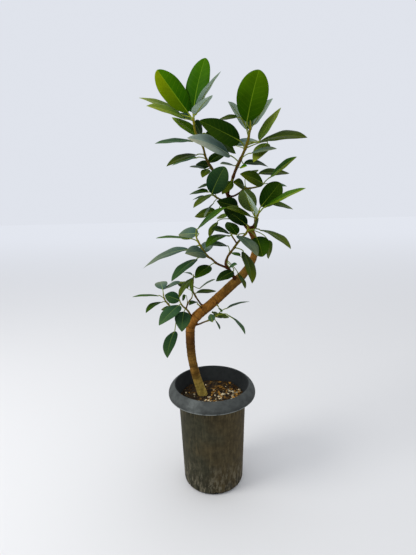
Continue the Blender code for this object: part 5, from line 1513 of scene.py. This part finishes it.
class FIG_OT_trunk(bpy.types.Operator):
    """Builds the trunk, its leader and the woody feet of its branches"""
    bl_idname = "fig.trunk"
    bl_label = "Trunk"

    def execute(self, context):
        settings = context.scene.fig_wood
        wood = smooth_path(TRUNK, TRUNK_STEPS)
        branch = smooth_path(BRANCH, TRUNK_STEPS)
        twig = tuple(settings.twig)
        chains = [self.trunk_chain(wood, settings), [(point, radius, twig) for point, radius in branch],
                  [(point, radius, tuple(settings.high)) for point, radius in smooth_path(KNOB, 6)]]
        for name, rows in STEMS.items():
            if name != LEADER_SHOOT:
                carrier = branch if name.startswith(BRANCH_SHOOTS) else wood
                chains.append(stub_chain(smooth_path(rows, STEM_STEPS), carrier, twig))
        trunk = grow("fig_trunk", chains_mesh("fig_trunk", chains), tube_tree(), Sides=40, Bump=0.0006,
                     Bump_Scale=55.0, Material=bark_finish())
        material = trunk.data.materials[0]
        skin = trunk.modifiers.new("skin", "REMESH")
        skin.mode = "VOXEL"
        skin.voxel_size = settings.voxel
        plain(trunk)
        shape = bmesh.new()
        shape.from_mesh(trunk.data)
        for _ in range(SMOOTH_ROUNDS):
            bmesh.ops.smooth_vert(shape, verts=shape.verts, factor=0.5, use_axis_x=True, use_axis_y=True,
                                  use_axis_z=True)
        shape.to_mesh(trunk.data)
        shape.free()
        trunk.data.materials.clear()
        trunk.data.materials.append(material)
        self.add_scars(trunk.data, chains, settings)
        trunk.data.shade_smooth()
        put_in_frame(trunk, "bark", "trunk")
        return {"FINISHED"}

    def trunk_chain(self, wood, settings):
        """The trunk's points, from pale at its foot through ochre to dark red brown at its top."""
        heights = [height for height, _ in TONES]
        channels = np.array([tuple(getattr(settings, word)) for _, word in TONES]).T
        return [(point, radius, tuple(np.interp(point.z, heights, channel) for channel in channels))
                for point, radius in wood]

    def add_scars(self, mesh, chains, settings):
        """Colours the bark from the nearest chain, paints light and shade on it by the way it faces, and
        raises ring scars along it.
        """
        draw = random.Random(BARK_SEED)
        knots = np.array([tuple(point) for chain in chains for point, _, _ in chain])
        girths = np.array([radius for chain in chains for _, radius, _ in chain])
        tints = np.array([(*colour, 1.0) for chain in chains for _, _, colour in chain])
        gone = []
        for chain in chains:
            steps = [0.0] + [(end[0] - start[0]).length for start, end in zip(chain, chain[1:])]
            gone += list(np.cumsum(steps) + draw.uniform(0.0, 1.0) * (len(gone) > 0))
        gone = np.array(gone)
        count = len(mesh.vertices)
        spots = np.zeros(count * 3)
        normals = np.zeros(count * 3)
        mesh.vertices.foreach_get("co", spots)
        mesh.vertex_normals.foreach_get("vector", normals)
        spots, normals = spots.reshape(-1, 3), normals.reshape(-1, 3)
        nearest = np.zeros(count, int)
        for start in range(0, count, BATCH):
            part = spots[start:start + BATCH]
            far = np.linalg.norm(part[:, None, :] - knots[None], axis=2) - girths[None]
            nearest[start:start + BATCH] = far.argmin(axis=1)
        ways = np.gradient(knots, axis=0)
        ways /= np.linalg.norm(ways, axis=1)[:, None] + 1e-9
        run = gone[nearest] + ((spots - knots[nearest]) * ways[nearest]).sum(axis=1)
        wobble = np.array([noise.noise(Vector(spot) * 70.0) for spot in spots])
        run = run + RING_WOBBLE * wobble
        rings = []
        here = 0.0
        while here < RING_RUN:
            here += draw.uniform(*RING_GAPS)
            rings.append((here, draw.uniform(*RING_STRENGTHS)))
        scar = np.zeros(count)
        for place, strength in rings:
            scar = np.maximum(scar, strength * np.exp(-((run - place) / RING_WIDTH) ** 2))
        lift = settings.scar * np.minimum(girths[nearest] / RING_RADIUS, 1.0)
        furrow = np.array([noise.noise(Vector((x, y, z * 0.35)) * 160.0) for x, y, z in spots])
        spots = spots + normals * (scar * lift + FURROW * furrow)[:, None]
        mesh.vertices.foreach_set("co", spots.ravel())
        set_attribute(mesh, "scar", "FLOAT", scar)
        # Painted light and shade: bark facing the upper left front is painted paler, bark facing away
        # darker.
        bleached = 1.0 + PAINTED_LIGHT * (normals @ np.array(PAINTED_LIGHT_WAY))
        set_attribute(mesh, "tint", "FLOAT_COLOR", tints[nearest] * bleached[:, None])
        mesh.update()


class FIG_OT_shoots(bpy.types.Operator):
    """Builds each leafy shoot: stem, petioles and leaves"""
    bl_idname = "fig.shoots"
    bl_label = "Shoots"

    def execute(self, context):
        leaf, wood = context.scene.fig_leaf, context.scene.fig_wood
        upper = leaf_finish("fig_leaf_upper", leaf, False)
        lower = leaf_finish("fig_leaf_lower", leaf, True)
        stalks = stem_finish()
        blade = blade_tree()
        tube = tube_tree()
        for seed, (name, rows) in enumerate(STEMS.items()):
            draw = random.Random(seed)
            stems = [smooth_path(rows, STEM_STEPS)]
            if name in SIDE_TWIGS:
                stems.append(smooth_path(SIDE_TWIGS[name], STEM_STEPS))
            if name == LEADER_SHOOT:
                stems[0] = stems[0][LEADER_START:]
            leaves = [Leaf(row, stems) for row in LEAVES[name]]
            feet = [one.foot for one in leaves]
            chains = [stem_chain(path, feet, tuple(wood.twig), tuple(wood.green)) for path in stems]
            stem = grow("stem", chains_mesh("stem", chains), tube, Sides=14, Bump=0.0005, Bump_Scale=260.0,
                        Material=stalks)
            petioles = chains_mesh("ribs", [petiole_chain(one, leaf) for one in leaves])
            ribs = grow("ribs", petioles, tube, Sides=8, Bump=0.00015, Bump_Scale=300.0, Material=stalks)
            smooth(stem, 60.0)
            smooth(ribs, 60.0)
            made = grow("fig_" + name, blades_mesh(leaves, leaf, draw), blade, Columns=leaf.columns,
                        Rows=leaf.rows, Thickness=leaf.thickness, Groove=leaf.groove, Fold=leaf.fold,
                        Wave=leaf.wave, Upper=upper, Lower=lower)
            smooth(made, 60.0)
            put_in_frame(joined(made, stem, ribs), "foliage", name)
        return {"FINISHED"}


class FIG_OT_stage(bpy.types.Operator):
    """Builds the floor, the light and the camera"""
    bl_idname = "fig.stage"
    bl_label = "Stage"

    def execute(self, context):
        settings = context.scene.fig_stage
        self.add_floor(settings)
        self.add_backdrop(settings)
        self.add_lamp(settings)
        self.add_camera()
        context.scene.view_settings.view_transform = "Standard"
        return {"FINISHED"}

    def add_floor(self, settings):
        """Adds a floor that turns into the backdrop behind the pot."""
        shape = bmesh.new()
        bmesh.ops.create_grid(shape, x_segments=1, y_segments=1, size=FLOOR_HALF)
        floor = linked("floor", mesh_from("floor", shape))
        f = Finish("fig_floor", Roughness=0.9, Specular_IOR_Level=0.1, Emission_Strength=1.0)
        _, y, _ = f.split(f.place)
        away = y.step(FADE_START, FADE_END)
        f.feed("Base Color", f.scale(tuple(settings.floor), 1.0 - away))
        f.feed("Emission Color", f.scale(tuple(settings.sky), away * settings.backdrop_power))
        floor.data.materials.append(f.material)

    def add_backdrop(self, settings):
        """Adds soft light from above, behind and the front, and an even backdrop in its place."""
        world = bpy.data.worlds.new("fig_backdrop")
        world.use_nodes = True
        g = Graph(world.node_tree)
        back = world.node_tree.nodes["Background"]
        back.inputs["Color"].default_value = (*settings.sky, 1.0)
        _, y, z = g.split(g.node("ShaderNodeTexCoord"))
        light = (y.step(-0.3, 0.6) * (settings.back_power - settings.front_power) + settings.front_power
                 + z.step(0.0, 0.9) * settings.sky_power)
        shown = g.node("ShaderNodeLightPath", out="Is Camera Ray")
        light = shown * settings.backdrop_power + (1.0 - shown) * light
        world.node_tree.links.new(light.socket, back.inputs["Strength"])
        bpy.context.scene.world = world

    def add_lamp(self, settings):
        """Adds the large lamp at the upper left."""
        lamp = bpy.data.lights.new("key", "AREA")
        lamp.shape = "DISK"
        lamp.size = LAMP_WIDTH
        lamp.energy = settings.key_power
        key = linked("key", lamp)
        key.location = LAMP
        key.rotation_euler = (Vector(LAMP_AIM) - key.location).to_track_quat("-Z", "Y").to_euler()

    def add_camera(self):
        """Adds the camera that looks at the plant from the front."""
        camera = bpy.data.cameras.new("camera")
        camera.sensor_fit = "VERTICAL"
        camera.sensor_height = SENSOR
        camera.lens = FOCAL
        view = linked("camera", camera)
        turn = (Euler((0.0, 0.0, math.radians(YAW))).to_matrix()
                @ Euler((math.radians(90.0 - PITCH), 0.0, 0.0)).to_matrix()
                @ Euler((0.0, 0.0, math.radians(ROLL))).to_matrix())
        view.matrix_world = Matrix.Translation(EYE) @ turn.to_4x4()
        bpy.context.scene.camera = view


class FIG_PT_builder(bpy.types.Panel):
    """Lists the builders of the fig's pieces"""
    bl_label = "Potted fig"
    bl_idname = "FIG_PT_builder"
    bl_space_type = "VIEW_3D"
    bl_region_type = "UI"
    bl_category = "Fig"

    def draw(self, context):
        for one in OPERATORS:
            self.layout.operator(one.bl_idname, text=one.bl_label)


SETTINGS = {
    "fig_pot": FIG_PG_pot,
    "fig_soil": FIG_PG_soil,
    "fig_wood": FIG_PG_wood,
    "fig_leaf": FIG_PG_leaf,
    "fig_stage": FIG_PG_stage,
}
OPERATORS = (FIG_OT_pot, FIG_OT_soil, FIG_OT_trunk, FIG_OT_shoots, FIG_OT_stage)


def register():
    """Adds the settings, builders and panel to Blender."""
    for one in (*SETTINGS.values(), *OPERATORS, FIG_PT_builder):
        bpy.utils.register_class(one)
    for name, group in SETTINGS.items():
        setattr(bpy.types.Scene, name, bpy.props.PointerProperty(type=group))


def unregister():
    """Takes the settings, builders and panel out of Blender."""
    for name in SETTINGS:
        delattr(bpy.types.Scene, name)
    for one in (FIG_PT_builder, *OPERATORS, *SETTINGS.values()):
        bpy.utils.unregister_class(one)


def main():
    """Builds the fig."""
    register()
    bpy.ops.fig.pot()
    bpy.ops.fig.soil()
    bpy.ops.fig.trunk()
    bpy.ops.fig.shoots()
    bpy.ops.fig.stage()


if __name__ == "__main__":
    main()
